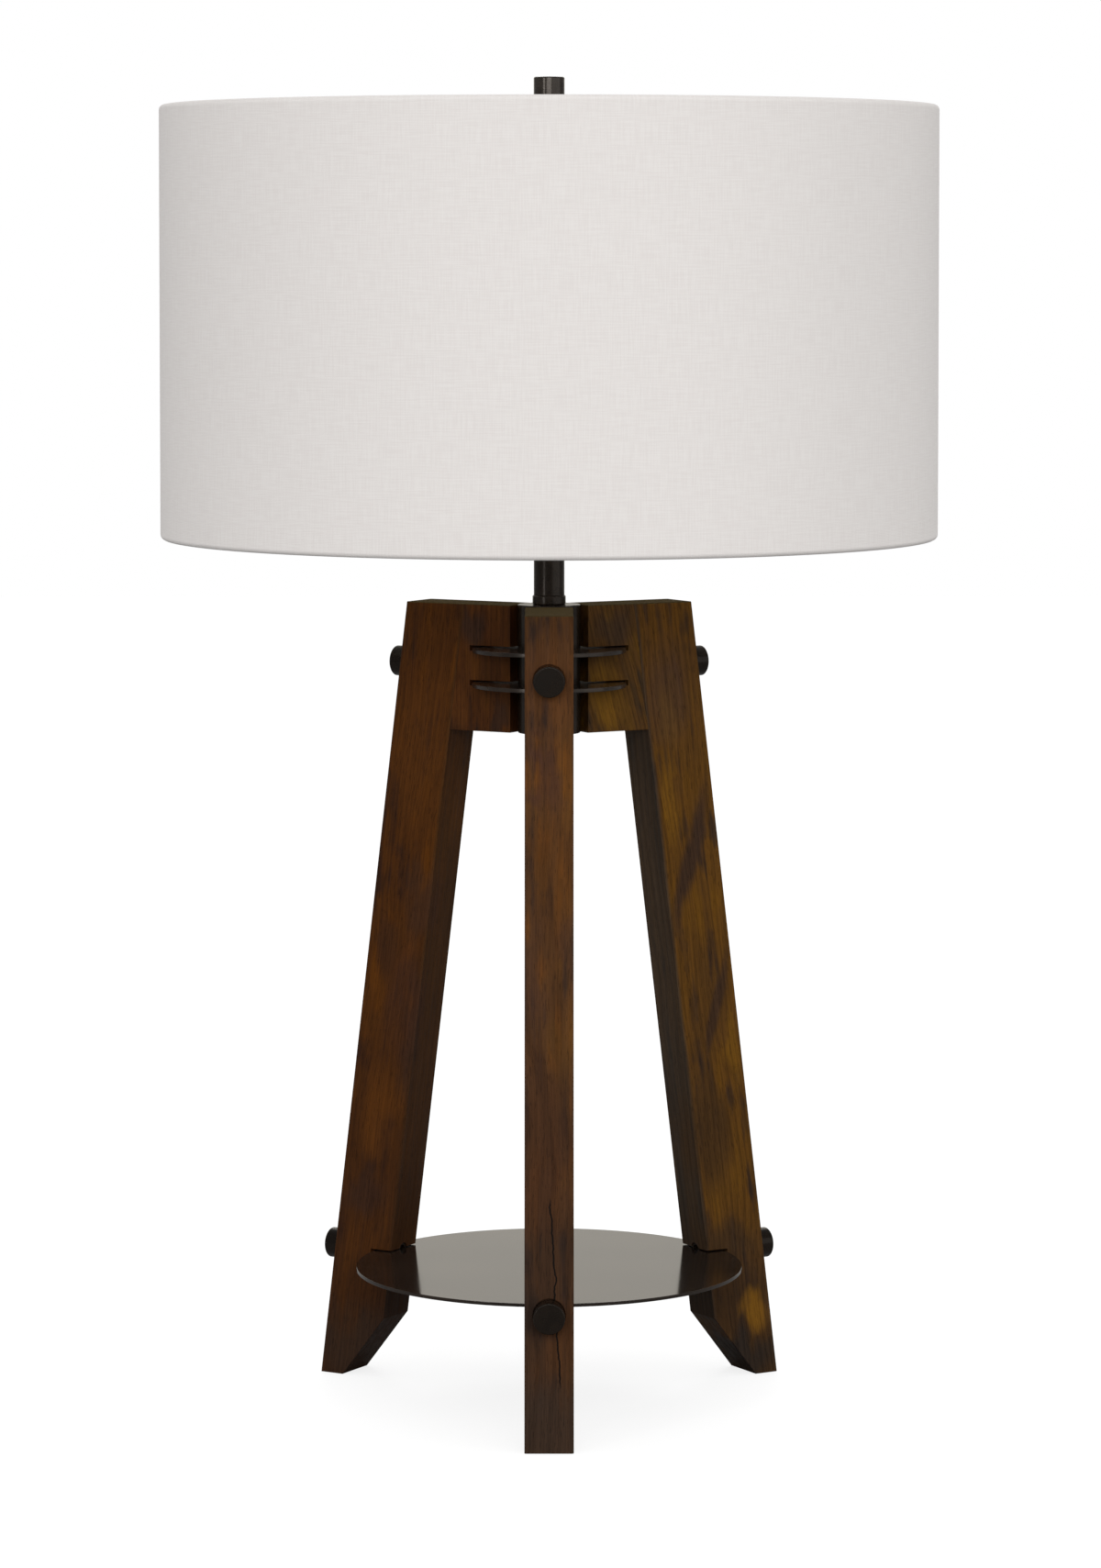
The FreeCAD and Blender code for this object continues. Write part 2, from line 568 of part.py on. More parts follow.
def build_stem():
    """Collar on the hub, stem tube and the ring on its top."""
    turn(new_body("stem_collar"),
         tube_corners("Size.collar_diameter / 2", "Place.pipe_hole", "Place.hub_top",
                      "Place.stem_floor"), {1: "Size.collar_round"})
    turn(new_body("stem_tube"),
         tube_corners("Size.stem_diameter / 2", "Size.stem_diameter / 2 - Size.stem_wall",
                      "Place.stem_floor", "Place.stem_top"))
    turn(new_body("neck_ring"),
         tube_corners("Size.neck_diameter / 2", "Place.pipe_hole", "Place.stem_top",
                      "Place.saddle_floor"))


def build_pipe():
    """Lamp pipe through the hub and stem, with its washer, nut and cord bushing."""
    turn(new_body("lamp_pipe"),
         tube_corners("Size.pipe_diameter / 2", "Size.pipe_bore / 2", "Place.pipe_floor",
                      "Place.saddle_top + Size.pipe_in_cap"))
    turn(new_body("pipe_washer"),
         tube_corners("Size.washer_diameter / 2", "Place.pipe_hole", "Place.washer_floor",
                      "Place.arm_floor"))
    nut = new_body("pipe_nut")
    sketch = new_sketch(nut, "hexagon", "XY_Plane", lift="Place.nut_floor")
    step = 360 / NUT_SIDES
    reach = "Size.nut_width / sqrt(3)"
    draw_lines(sketch, [(f"{reach} * cos({step * i} deg)", f"{reach} * sin({step * i} deg)")
                        for i in range(NUT_SIDES)])
    draw_circle(sketch, "2 * Place.pipe_thread")
    pad(nut, sketch, "Size.nut_height")
    turn(new_body("cord_bushing"), [
        ("Size.bushing_diameter / 2", "Place.bushing_floor"),
        ("Size.bushing_diameter / 2", "Place.nut_floor"),
        ("Place.pipe_thread", "Place.nut_floor"),
        ("Place.pipe_thread", "Place.pipe_floor"),
        ("Size.bushing_bore / 2", "Place.pipe_floor"),
        ("Size.bushing_bore / 2", "Place.bushing_floor"),
    ], {0: "Size.bushing_round", 5: "Size.bushing_round"})


# Lamp holder and its switch


def build_socket():
    """Cap, shell, insulator, core, screw shell and centre contact, nested on the axis."""
    cap_inside = "Place.cap_radius - Size.socket_cap_wall"
    shoulder = "Place.saddle_top + Size.cap_boss_height"
    turn(new_body("socket_cap"), [
        ("Size.cap_boss_diameter / 2", "Place.saddle_top"),
        ("Size.cap_boss_diameter / 2", shoulder),
        ("Place.cap_radius", shoulder),
        ("Place.cap_radius", "Place.cap_top"),
        (cap_inside, "Place.cap_top"),
        (cap_inside, f"{shoulder} + Size.socket_cap_wall"),
        ("Place.pipe_thread", f"{shoulder} + Size.socket_cap_wall"),
        ("Place.pipe_thread", "Place.saddle_top"),
    ], {2: "Size.socket_cap_round", 5: "Place.socket_cap_inner_round"})
    shell = new_body("socket_shell")
    turn(shell, [
        ("Size.socket_diameter / 2", "Place.shell_floor"),
        ("Size.socket_diameter / 2", "Place.shell_top - Size.socket_lip"),
        ("Size.socket_diameter / 2 + Size.socket_lip", "Place.shell_top - Size.socket_lip"),
        ("Size.socket_diameter / 2 + Size.socket_lip", "Place.shell_top"),
        ("Place.shell_bore", "Place.shell_top"),
        ("Place.shell_bore", "Place.shell_floor"),
    ])
    insulator = new_body("socket_insulator")
    turn(insulator, tube_corners("Place.insulator_radius", "Place.insulator_bore",
                                 "Place.shell_floor", "Place.shell_top - Size.insulator_drop"))
    core = new_body("socket_core")
    turn(core, [
        ("0", "Place.shell_floor"),
        ("Place.core_radius", "Place.shell_floor"),
        ("Place.core_radius", "Place.core_top"),
        ("0", "Place.core_top"),
    ])
    window = "Size.switch_window"
    shaft_hole = "Size.switch_shaft_diameter + 2 * Size.switch_play"
    shaft_seat = "Size.switch_shaft_start - Size.switch_play"
    for body, start, diameter in ((shell, "0", window), (insulator, "0", window),
                                  (core, shaft_seat, shaft_hole)):
        sketch = new_sketch(body, "switch_hole", "XZ_Plane", lift=start)
        draw_circle(sketch, diameter, up="Place.switch_height")
        cut_through(body, sketch, "ahead")
    turn(new_body("screw_shell"), [
        ("Size.screw_shell_hole / 2", "Place.core_top"),
        ("Place.screw_shell_radius", "Place.core_top"),
        ("Place.screw_shell_radius", "Place.core_top + Size.screw_shell_height"),
        ("Size.bulb_bore / 2", "Place.core_top + Size.screw_shell_height"),
        ("Size.bulb_bore / 2", "Place.core_top + Size.screw_shell_wall"),
        ("Size.screw_shell_hole / 2", "Place.core_top + Size.screw_shell_wall"),
    ], {1: "Place.screw_shell_outer_round", 4: "Size.screw_shell_round"})
    turn(new_body("centre_contact"), [
        ("0", "Place.core_top"),
        ("Size.contact_diameter / 2", "Place.core_top"),
        ("Size.contact_diameter / 2", "Place.core_top + Size.contact_height"),
        ("0", "Place.core_top + Size.contact_height"),
    ], {2: "Size.contact_round"})


def face_front(body):
    """Lay a body that was made along the upright axis towards the front, at the switch."""
    body.Placement = FreeCAD.Placement(ORIGIN, FreeCAD.Rotation(X_AXIS, 90))
    body.setExpression("Placement.Base.z", "Place.switch_height")


def build_switch():
    """Shaft from the core and the fluted knob on it, both pointing to the front."""
    shaft = new_body("switch_shaft")
    turn(shaft, [
        ("0", "Size.switch_shaft_start"),
        ("Size.switch_shaft_diameter / 2", "Size.switch_shaft_start"),
        ("Size.switch_shaft_diameter / 2", "Place.shaft_end"),
        ("0", "Place.shaft_end"),
    ])
    face_front(shaft)
    knob = new_body("switch_knob")
    socket = "Size.switch_shaft_diameter / 2 + Size.thread_play"
    depth = "Place.shaft_end + Size.thread_play"
    turn(knob, [
        ("Size.knob_base_diameter / 2", "Place.knob_start"),
        ("Size.knob_tip_diameter / 2", "Place.knob_end"),
        ("0", "Place.knob_end"),
        ("0", depth),
        (socket, depth),
        (socket, "Place.knob_start"),
    ], {1: "Size.knob_round"})
    flute = new_sketch(knob, "flute", "XY_Plane", lift="Place.knob_start")
    draw_circle(flute, "Size.knob_flute_diameter", across="Size.knob_base_diameter / 2")
    repeat(knob, cut_through(knob, flute, "ahead"), KNOB_FLUTE_COUNT)
    face_front(knob)


# Harp


def build_saddle():
    """Bent strip between the neck ring and the socket cap, with two narrow ears."""
    body = new_body("harp_saddle")
    outside = "Size.saddle_half_span + Size.saddle_thickness / 2"
    inside = "Size.saddle_half_span - Size.saddle_thickness / 2"
    sketch = new_sketch(body, "strip", "XZ_Plane")
    draw_lines(sketch, [
        (outside, "Place.ear_top"),
        (inside, "Place.ear_top"),
        (inside, "Place.saddle_top"),
        (f"-({inside})", "Place.saddle_top"),
        (f"-({inside})", "Place.ear_top"),
        (f"-({outside})", "Place.ear_top"),
        (f"-({outside})", "Place.saddle_floor"),
        (outside, "Place.saddle_floor"),
    ], {6: "Size.saddle_bend", 7: "Size.saddle_bend"})
    pad(body, sketch, "Size.saddle_width", symmetric=True)
    for side in ("", "-"):
        notch = new_sketch(body, "near_notch" if side else "far_notch", "YZ_Plane")
        draw_lines(notch, box_corners(f"{side}Size.ear_width / 2", f"{side}Size.saddle_width",
                                      "Place.shoulder_height", "Place.ear_top + Size.ear_width"))
        cut_through(body, notch, "both")
    hole = new_sketch(body, "pipe_hole", "XY_Plane", lift="Place.saddle_floor")
    draw_circle(hole, "2 * Place.pipe_hole")
    cut_through(body, hole, "ahead")


def harp_path():
    """Corners of the harp's wire from the right foot over the crown to the left foot."""
    right = [
        ("Size.saddle_half_span", "Place.harp_foot"),
        ("Size.saddle_half_span", "Place.saddle_floor + Size.harp_low_corner"),
        ("Size.harp_half_width", "Place.saddle_floor + Size.harp_wide_corner"),
        ("Size.harp_half_width", "Place.saddle_floor + Size.harp_high_corner"),
        ("Size.harp_crown_half", "Place.harp_crown"),
    ]
    left = [(f"-{across}", up) for across, up in reversed(right)]
    bends = [f"Size.harp_{corner}_bend" for corner in ("low", "wide", "high", "crown")]
    rounds = dict(enumerate(bends + bends[::-1], start=1))
    return right + left, rounds


def build_harp():
    """Bent wire round the bulb's space, with a flat boss at its crown for the stud."""
    body = new_body("harp_wire")
    path = new_sketch(body, "path", "XZ_Plane")
    corners, rounds = harp_path()
    draw_lines(path, corners, rounds, closed=False)
    section = new_sketch(body, "section", "XY_Plane", lift="Place.harp_foot",
                         shift_x="Size.saddle_half_span")
    draw_circle(section, "Size.harp_wire")
    wire = body.newObject("PartDesign::AdditivePipe", "harp_wire_swept")
    wire.Profile = section
    wire.Spine = (path, [])
    boss = new_sketch(body, "boss", "XY_Plane", lift="Place.harp_crown - Size.harp_wire / 2")
    draw_circle(boss, "Size.harp_boss_diameter")
    pad(body, boss, "Size.harp_wire")
    hole = new_sketch(body, "rivet_hole", "XY_Plane", lift="Place.harp_crown - Size.harp_wire")
    draw_circle(hole, "Size.stud_rivet_diameter + 2 * Size.thread_play")
    cut_through(body, hole, "ahead")
    turn(new_body("harp_stud"), [
        ("0", "Place.harp_crown - Size.harp_wire / 2"),
        ("Size.stud_rivet_diameter / 2", "Place.harp_crown - Size.harp_wire / 2"),
        ("Size.stud_rivet_diameter / 2", "Place.stud_flange_floor"),
        ("Size.stud_flange_diameter / 2", "Place.stud_flange_floor"),
        ("Size.stud_flange_diameter / 2", "Place.shade_seat"),
        ("Size.stud_diameter / 2", "Place.shade_seat"),
        ("Size.stud_diameter / 2", "Place.shade_seat + Size.stud_length"),
        ("0", "Place.shade_seat + Size.stud_length"),
    ])


def build_ferrules():
    """Two sleeves that stand on the saddle's shoulders and lock the harp's feet."""
    for name, side in (("ferrule_left", "-"), ("ferrule_right", "")):
        body = new_body(name)
        ferrule_top = "Place.ferrule_floor + Size.ferrule_length"
        turn(body, tube_corners("Size.ferrule_diameter / 2", "Size.ferrule_bore / 2",
                                "Place.ferrule_floor", ferrule_top),
             {0: "Size.ferrule_round", 1: "Size.ferrule_round"})
        body.setExpression("Placement.Base.x", f"{side}Size.saddle_half_span")


# Shade and finial


def build_cloth():
    """Drum of cloth, rolled over both rings and tucked behind them, slit for the spokes."""
    body = new_body("shade_cloth", FRONT)
    top_ring = "Place.top_ring_height"
    bottom_ring = "Place.bottom_ring_height"
    wall_inside = "Place.shade_radius - Size.cloth_thickness"
    under_top = "Place.shade_top - Size.cloth_thickness"
    over_bottom = "Place.shade_floor + Size.cloth_thickness"
    rim = "Place.ring_inset"
    rim_inside = "Place.hem_round_inside"
    turn(body, [
        ("Place.shade_radius", "Place.shade_floor"),
        ("Place.shade_radius", "Place.shade_top"),
        ("Place.hem_inner", "Place.shade_top"),
        ("Place.hem_inner", "Place.top_hem_bend"),
        ("Place.hem_edge_inner", f"{top_ring} - Size.hem_depth"),
        ("Place.hem_edge_outer", f"{top_ring} - Size.hem_depth"),
        ("Place.hem_outer", "Place.top_hem_bend"),
        ("Place.hem_outer", under_top),
        (wall_inside, under_top),
        (wall_inside, over_bottom),
        ("Place.hem_outer", over_bottom),
        ("Place.hem_outer", "Place.bottom_hem_bend"),
        ("Place.hem_edge_outer", f"{bottom_ring} + Size.hem_depth"),
        ("Place.hem_edge_inner", f"{bottom_ring} + Size.hem_depth"),
        ("Place.hem_inner", "Place.bottom_hem_bend"),
        ("Place.hem_inner", "Place.shade_floor"),
    ], {0: rim, 1: rim, 2: rim, 7: rim_inside, 8: rim_inside, 9: rim_inside, 10: rim_inside,
        15: rim})
    slit = new_sketch(body, "slit", "YZ_Plane", lift="Place.ring_radius")
    half = "(Size.spoke_wire / 2 + Size.spoke_slit_play)"
    draw_lines(slit, box_corners(f"-{half}", half, f"{top_ring} - Size.hem_depth - {rim}",
                                 f"{top_ring} + {half}"))
    cut = body.newObject("PartDesign::Pocket", "shade_cloth_slit_cut")
    cut.Profile = slit
    cut.Type = "Length"
    cut.setExpression("Length", "Size.spoke_rise_run / 2")
    repeat(body, cut, LEG_COUNT)


def build_shade_frame():
    """Stiff liner, the two wire rings and the three-spoked spider."""
    turn(new_body("shade_liner"),
         tube_corners("Place.liner_radius", "Place.liner_bore", "Place.bottom_ring_height",
                      "Place.top_ring_height"))
    for name in ("bottom_ring", "top_ring"):
        body = new_body(f"shade_{name}")
        sketch = new_sketch(body, "profile", "XZ_Plane")
        draw_circle(sketch, "Size.ring_wire", across="Place.ring_radius", up=f"Place.{name}_height")
        ring = body.newObject("PartDesign::Revolution", f"{name}_turned")
        ring.Profile = sketch
        ring.ReferenceAxis = (sketch, ["V_Axis"])
        ring.Angle = 360
    spider = new_body("shade_spider", FRONT)
    path = new_sketch(spider, "path", "XZ_Plane")
    draw_lines(path, [
        ("Place.spoke_start", "Place.washer_middle"),
        ("Place.spoke_corner", "Place.washer_middle"),
        ("Place.spoke_end", "Place.top_ring_height"),
    ], {1: "Size.spoke_bend"}, closed=False)
    section = new_sketch(spider, "section", "YZ_Plane", lift="Place.spoke_start")
    draw_circle(section, "Size.spoke_wire", up="Place.washer_middle")
    spoke = spider.newObject("PartDesign::AdditivePipe", "shade_spider_spoke")
    spoke.Profile = section
    spoke.Spine = (path, [])
    repeat(spider, spoke, LEG_COUNT)
    seat = "Place.shade_seat + Size.seat_gap"
    hole = "Size.stud_diameter + 2 * Size.spider_hole_play"
    washer = new_sketch(spider, "washer", "XY_Plane", lift=seat)
    draw_circle(washer, "Size.spider_washer_diameter")
    draw_circle(washer, hole)
    pad(spider, washer, "Size.spider_washer_thickness")


def build_finial():
    """Plain round knob, screwed on the stud over the spider's washer."""
    bore = "Size.stud_diameter / 2 + Size.finial_play"
    depth = "Place.finial_floor + Size.finial_hole_depth"
    turn(new_body("finial"), [
        (bore, "Place.finial_floor"),
        ("Size.finial_diameter / 2", "Place.finial_floor"),
        ("Size.finial_diameter / 2", "Place.finial_top"),
        ("0", "Place.finial_top"),
        ("0", depth),
        (bore, depth),
    ], {2: "Size.finial_round"})


def check_cuts():
    """Stop if a cut took nothing away."""
    for feature in doc.findObjects("PartDesign::Pocket"):
        before = feature.BaseFeature.Shape.Volume
        if feature.Shape.Volume >= before:
            raise RuntimeError(f"{feature.Name} cuts nothing")


def write_parts():
    """Check every object and write each sub-part's shape to its own file."""
    for item in doc.Objects:
        if "Invalid" in item.State or "Error" in item.State:
            raise RuntimeError(f"{item.Name} failed: {item.State}")
    check_cuts()
    for body in bodies:
        if body.Shape.isNull() or not body.Shape.isValid():
            raise RuntimeError(f"{body.Label} has no valid shape")
    os.makedirs("parts", exist_ok=True)
    for body in bodies:
        body.Shape.exportStep(f"parts/{body.Label}.step")
        solids = len(body.Shape.Solids)
        print(f"{body.Label}: {solids} solid, {body.Shape.Volume:.1f} mm3")


fill_sheets()
for leg, leg_heading in LEG_HEADINGS.items():
    build_leg(f"leg_{leg}", leg_heading)
    build_arm(f"arm_{leg}", leg_heading)
build_hub()
build_plates()
build_bolts("arm_bolts", "arm_bolt")
build_shelf()
build_barrels()
build_bolts("shelf_bolts", "shelf_bolt")
build_stem()
build_pipe()
build_socket()
build_switch()
build_saddle()
build_harp()
build_ferrules()
build_cloth()
build_shade_frame()
build_finial()
doc.recompute()
write_parts()
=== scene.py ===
"""Looks of a table lamp with three slanted walnut legs, a round shelf and a linen drum shade.

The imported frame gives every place. Each class below rebuilds what shows of one sub-assembly,
with its eased edges, rolled rims and threads, and dresses the pieces that stay as they are.
"""

import logging
import math
from collections.abc import Callable, Sequence
from dataclasses import dataclass, field
from enum import Enum
from typing import Any

import bmesh
import bpy
from mathutils import Matrix, Vector


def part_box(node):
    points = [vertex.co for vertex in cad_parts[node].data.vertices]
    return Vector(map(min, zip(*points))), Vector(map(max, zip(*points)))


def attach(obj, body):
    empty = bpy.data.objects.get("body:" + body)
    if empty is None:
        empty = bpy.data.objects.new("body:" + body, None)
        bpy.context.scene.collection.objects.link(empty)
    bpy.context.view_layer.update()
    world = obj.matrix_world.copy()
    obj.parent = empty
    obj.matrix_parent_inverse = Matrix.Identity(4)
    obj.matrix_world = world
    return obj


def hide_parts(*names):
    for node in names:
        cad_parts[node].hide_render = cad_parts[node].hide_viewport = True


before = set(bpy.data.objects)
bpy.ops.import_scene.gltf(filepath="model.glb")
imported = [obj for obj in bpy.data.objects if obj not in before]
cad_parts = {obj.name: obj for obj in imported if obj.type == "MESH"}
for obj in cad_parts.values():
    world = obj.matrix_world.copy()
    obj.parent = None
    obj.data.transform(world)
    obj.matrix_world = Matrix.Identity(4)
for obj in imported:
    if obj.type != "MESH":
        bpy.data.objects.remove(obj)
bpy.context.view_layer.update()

LOG = logging.getLogger("table_lamp")
MM = 0.001
FULL_TURN = 2 * math.pi
# Everything is turned about the lamp's own upright axis
AXIS = {"cent": (0, 0, 0), "axis": (0, 0, 1)}
# Corners closer than this become one, and heights closer than that count as the same
MERGE = 0.001 * MM
CLOSE = 0.01 * MM
# Faces that turn by less than this become one, and edges that turn by more stay sharp
FLAT = math.radians(0.5)
SHARP = math.radians(38)
ROUND_STEPS = 5
WHITE = (1.0, 1.0, 1.0, 1.0)
# Most of a soft pattern's values lie between these
MIDDLE = (0.3, 0.7)
SMOOTH = {"interpolation_type": "SMOOTHSTEP"}
COLOUR = {"data_type": "RGBA"}
MULTIPLY = {"data_type": "RGBA", "blend_type": "MULTIPLY"}

Colour = tuple[float, float, float, float]
Inputs = dict[str | int, Any]
Outputs = bpy.types.NodeOutputs
Pair = tuple[float, float]
Shape = bmesh.types.BMesh
Socket = bpy.types.NodeSocket
Tree = bpy.types.NodeTree
Triple = tuple[float, float, float]


class Heading(Enum):
    """Where each leg points, in degrees about the lamp's axis."""

    FRONT = -90.0
    REAR_RIGHT = 30.0
    REAR_LEFT = 150.0

    @property
    def angle(self) -> float:
        """The same in radians."""
        return math.radians(self.value)


class Body(Enum):
    """The bodies that new pieces ride on."""

    BASE = "base"
    SHADE = "shade"
    FINIAL = "finial"


class Slot(Enum):
    """The material slots of the new pieces."""

    WALNUT = "walnut"
    DARK_BRONZE = "dark_bronze"
    SHELF_BRONZE = "shelf_bronze"
    HARP_BRONZE = "harp_bronze"
    PLATED_STEEL = "plated_steel"
    SHELL_ALUMINIUM = "shell_aluminium"
    LINEN = "linen"


class Lie(Enum):
    """How the threads of the cloth run on a surface: along the rim or up the wall."""

    LEVEL = 0
    UPRIGHT = 1


def linear(code: str) -> Colour:
    """Turns a screen colour into the linear one that the shaders mix.

    Args:
        code: Six hex digits, red first.

    Returns:
        Linear red, green, blue, and an alpha of one.
    """
    shares = [int(code[i:i + 2], 16) / 255 for i in (0, 2, 4)]
    red, green, blue = (s / 12.92 if s <= 0.04045 else ((s + 0.055) / 1.055) ** 2.4 for s in shares)
    return red, green, blue, 1.0


def add(tree: Tree, kind: str, inputs: Inputs | Sequence[Any] = (),
        stops: Sequence[tuple[float, Colour]] = (), **settings: Any) -> Outputs:
    """Adds a node with its settings, values and links.

    Args:
        tree: The node tree that gets the node.
        kind: The node's type name, without the ShaderNode before it.
        inputs: A value, or a socket to link, for each input: in order, or by name or number.
        stops: Places and colours of a colour ramp.
        **settings: The node's own properties.

    Returns:
        The new node's outputs.
    """
    node = tree.nodes.new(f"ShaderNode{kind}")
    for name, value in settings.items():
        setattr(node, name, value)
    for key, value in inputs.items() if isinstance(inputs, dict) else enumerate(inputs):
        if isinstance(value, Socket):
            tree.links.new(value, node.inputs[key])
        else:
            node.inputs[key].default_value = value
    if stops:
        elements = node.color_ramp.elements
        while len(elements) < len(stops):
            elements.new(1.0)
        for element, (place, colour) in zip(elements, stops):
            element.position = place
            element.color = colour
    return node.outputs


def emptied(owner: bpy.types.Material | bpy.types.World) -> Tree:
    """Turns nodes on, and takes out those that come with them.

    Args:
        owner: A new material or world.

    Returns:
        Its node tree.
    """
    owner.use_nodes = True
    owner.node_tree.nodes.clear()
    return owner.node_tree


def speckle(tree: Tree, place: Socket, size_mm: Sequence[float], detail: float = 1.0) -> Socket:
    """Makes a soft random pattern whose spots have a real size.

    Args:
        tree: The node tree.
        place: The point on the piece, in metres.
        size_mm: The spots' size along each axis, in millimetres.
        detail: How many finer layers are added.

    Returns:
        A value from 0 to 1, mostly near 0.5.
    """
    scale = [1.0 / (size * MM) for size in size_mm]
    spots = add(tree, "Mapping", {"Vector": place, "Scale": scale})[0]
    return add(tree, "TexNoise", {"Vector": spots, "Scale": 1.0, "Detail": detail})[0]


def pushed(tree: Tree, place: Socket, pattern: Socket, reach_mm: Sequence[float]) -> Socket:
    """Pushes a place to and fro by a pattern.

    Args:
        tree: The node tree.
        place: The place, in metres.
        pattern: A value from 0 to 1, which pushes nothing at 0.5.
        reach_mm: How far apart 0 and 1 come along each axis, in millimetres.

    Returns:
        The pushed place.
    """
    middle = add(tree, "VectorMath", (pattern, (0.5, 0.5, 0.5)), operation="SUBTRACT")[0]
    reach = [part * MM for part in reach_mm]
    return add(tree, "VectorMath", (middle, reach, place), operation="MULTIPLY_ADD")[0]


def tinted(tree: Tree, ground: Socket | Colour, pattern: Socket, colour: str,
           band: Sequence[float], share: float = 1.0) -> Socket:
    """Lays a colour over another one where a pattern lies in a band.

    Args:
        tree: The node tree.
        ground: The colour below.
        pattern: The pattern.
        colour: The colour that is laid on, in hex.
        band: The pattern's values where it begins to show, and where it shows in full.
        share: How much of it shows there.

    Returns:
        The mixed colour.
    """
    shown = add(tree, "MapRange", (pattern, *band, 0.0, share), **SMOOTH)[0]
    return add(tree, "Mix", {0: shown, 6: ground, 7: linear(colour)}, **COLOUR)[2]


def shaded(tree: Tree, ground: Socket, pattern: Socket, band: Sequence[float],
           light: Sequence[float]) -> Socket:
    """Makes a colour darker or lighter by a pattern.

    Args:
        tree: The node tree.
        ground: The colour.
        pattern: The pattern.
        band: Two values of the pattern.
        light: How light the colour is at the first of them and at the second, 1 as it was.

    Returns:
        The shaded colour.
    """
    shade = add(tree, "MapRange", (pattern, *band, *light), **SMOOTH)[0]
    return add(tree, "Mix", {0: 1.0, 6: ground, 7: shade}, **MULTIPLY)[2]


@dataclass(frozen=True)
class Finish:
    """What all finishes share: a name and one shader.

    Attributes:
        name: The material's name, its real material and process.
    """

    name: str

    def material(self) -> bpy.types.Material:
        """Gives the finish's material, made the first time.

        Returns:
            The material.
        """
        known = bpy.data.materials.get(self.name)
        if known:
            return known
        material = bpy.data.materials.new(self.name)
        tree = emptied(material)
        shader = add(tree, "BsdfPrincipled", self.dress(tree))
        add(tree, "OutputMaterial", {"Surface": shader[0]})
        return material

    def dress(self, tree: Tree) -> Inputs:
        """Adds the finish's own nodes, and gives the Principled shader's inputs."""
        raise NotImplementedError


@dataclass(frozen=True)
class Blot:
    """A spot where the stain took more, or less, than round it.

    Attributes:
        place_mm: Its middle's place in the board: out, across and along the grain.
        wide_mm: Half its width.
        tall_mm: Half its height.
        colour: Its colour.
        share: How much of that colour shows in its middle.
        lean: How far it leans from the grain, in radians.
        edge: Where it begins and where it is full, in parts of the way from its middle.
    """

    place_mm: Triple
    wide_mm: float
    tall_mm: float
    colour: str
    share: float
    lean: float = 0.0
    edge: Pair = (1.3, 0.4)

    def over(self, tree: Tree, ground: Socket, place: Socket) -> Socket:
        """Lays the blot on the board.

        Args:
            tree: The material's node tree.
            ground: The colour so far.
            place: The place in the board.

        Returns:
            The colour with the blot.
        """
        middle = [part * MM for part in self.place_mm]
        size = (self.wide_mm * MM, 2 * self.wide_mm * MM, self.tall_mm * MM)
        reach = add(tree, "Mapping", (place, middle, (0.0, self.lean, 0.0), size),
                    vector_type="TEXTURE")[0]
        far = add(tree, "VectorMath", (reach,), operation="LENGTH")["Value"]
        return tinted(tree, ground, far, self.colour, self.edge, self.share)


@dataclass(frozen=True)
class Crack:
    """A fine wandering drying crack on a board's outer face.

    Attributes:
        colour: Its colour.
        slope: How far it goes across in a metre along the grain.
        start: Where it lies across the board at the ground, in metres.
        jag_mm: Size of its jags.
        wander_mm: How far they go to the side.
        half_mm: Half its width with its soft sides, and without.
        top: Where it begins and where it is open at the top, in metres along the grain.
        bottom: The same at the bottom.
        outer: Where the outer face begins, in metres out from the lamp's axis.
        depth: How deep it is, in parts of the pores' depth.
    """

    colour: str = "0c0907"
    slope: float = -0.053
    start: float = 0.0049
    jag_mm: Triple = (400.0, 400.0, 9.0)
    wander_mm: float = 4.5
    half_mm: Pair = (0.75, 0.15)
    top: Pair = (0.125, 0.119)
    bottom: Pair = (0.013, 0.022)
    outer: Pair = (0.140, 0.146)
    depth: float = 4.0

    def line(self, tree: Tree, board: Socket) -> Socket:
        """Draws the crack.

        Args:
            tree: The material's node tree.
            board: The place in the board.

        Returns:
            1 in the crack and 0 off it.
        """
        out, across, along = add(tree, "SeparateXYZ", (board,))
        jag = speckle(tree, board, self.jag_mm, 3.0)
        lean = add(tree, "Math", (along, self.slope, self.start), operation="MULTIPLY_ADD")[0]
        middle = add(tree, "Math", (jag, self.wander_mm * MM, lean), operation="MULTIPLY_ADD")[0]
        offset = add(tree, "Math", (across, middle), operation="SUBTRACT")[0]
        aside = add(tree, "Math", (offset,), operation="ABSOLUTE")[0]
        half = [part * MM for part in self.half_mm]
        line = 1.0
        for value, band in ((aside, half), (along, self.top), (along, self.bottom),
                            (out, self.outer)):
            part = add(tree, "MapRange", (value, *band), **SMOOTH)[0]
            line = add(tree, "Math", (line, part), operation="MULTIPLY")[0]
        return line


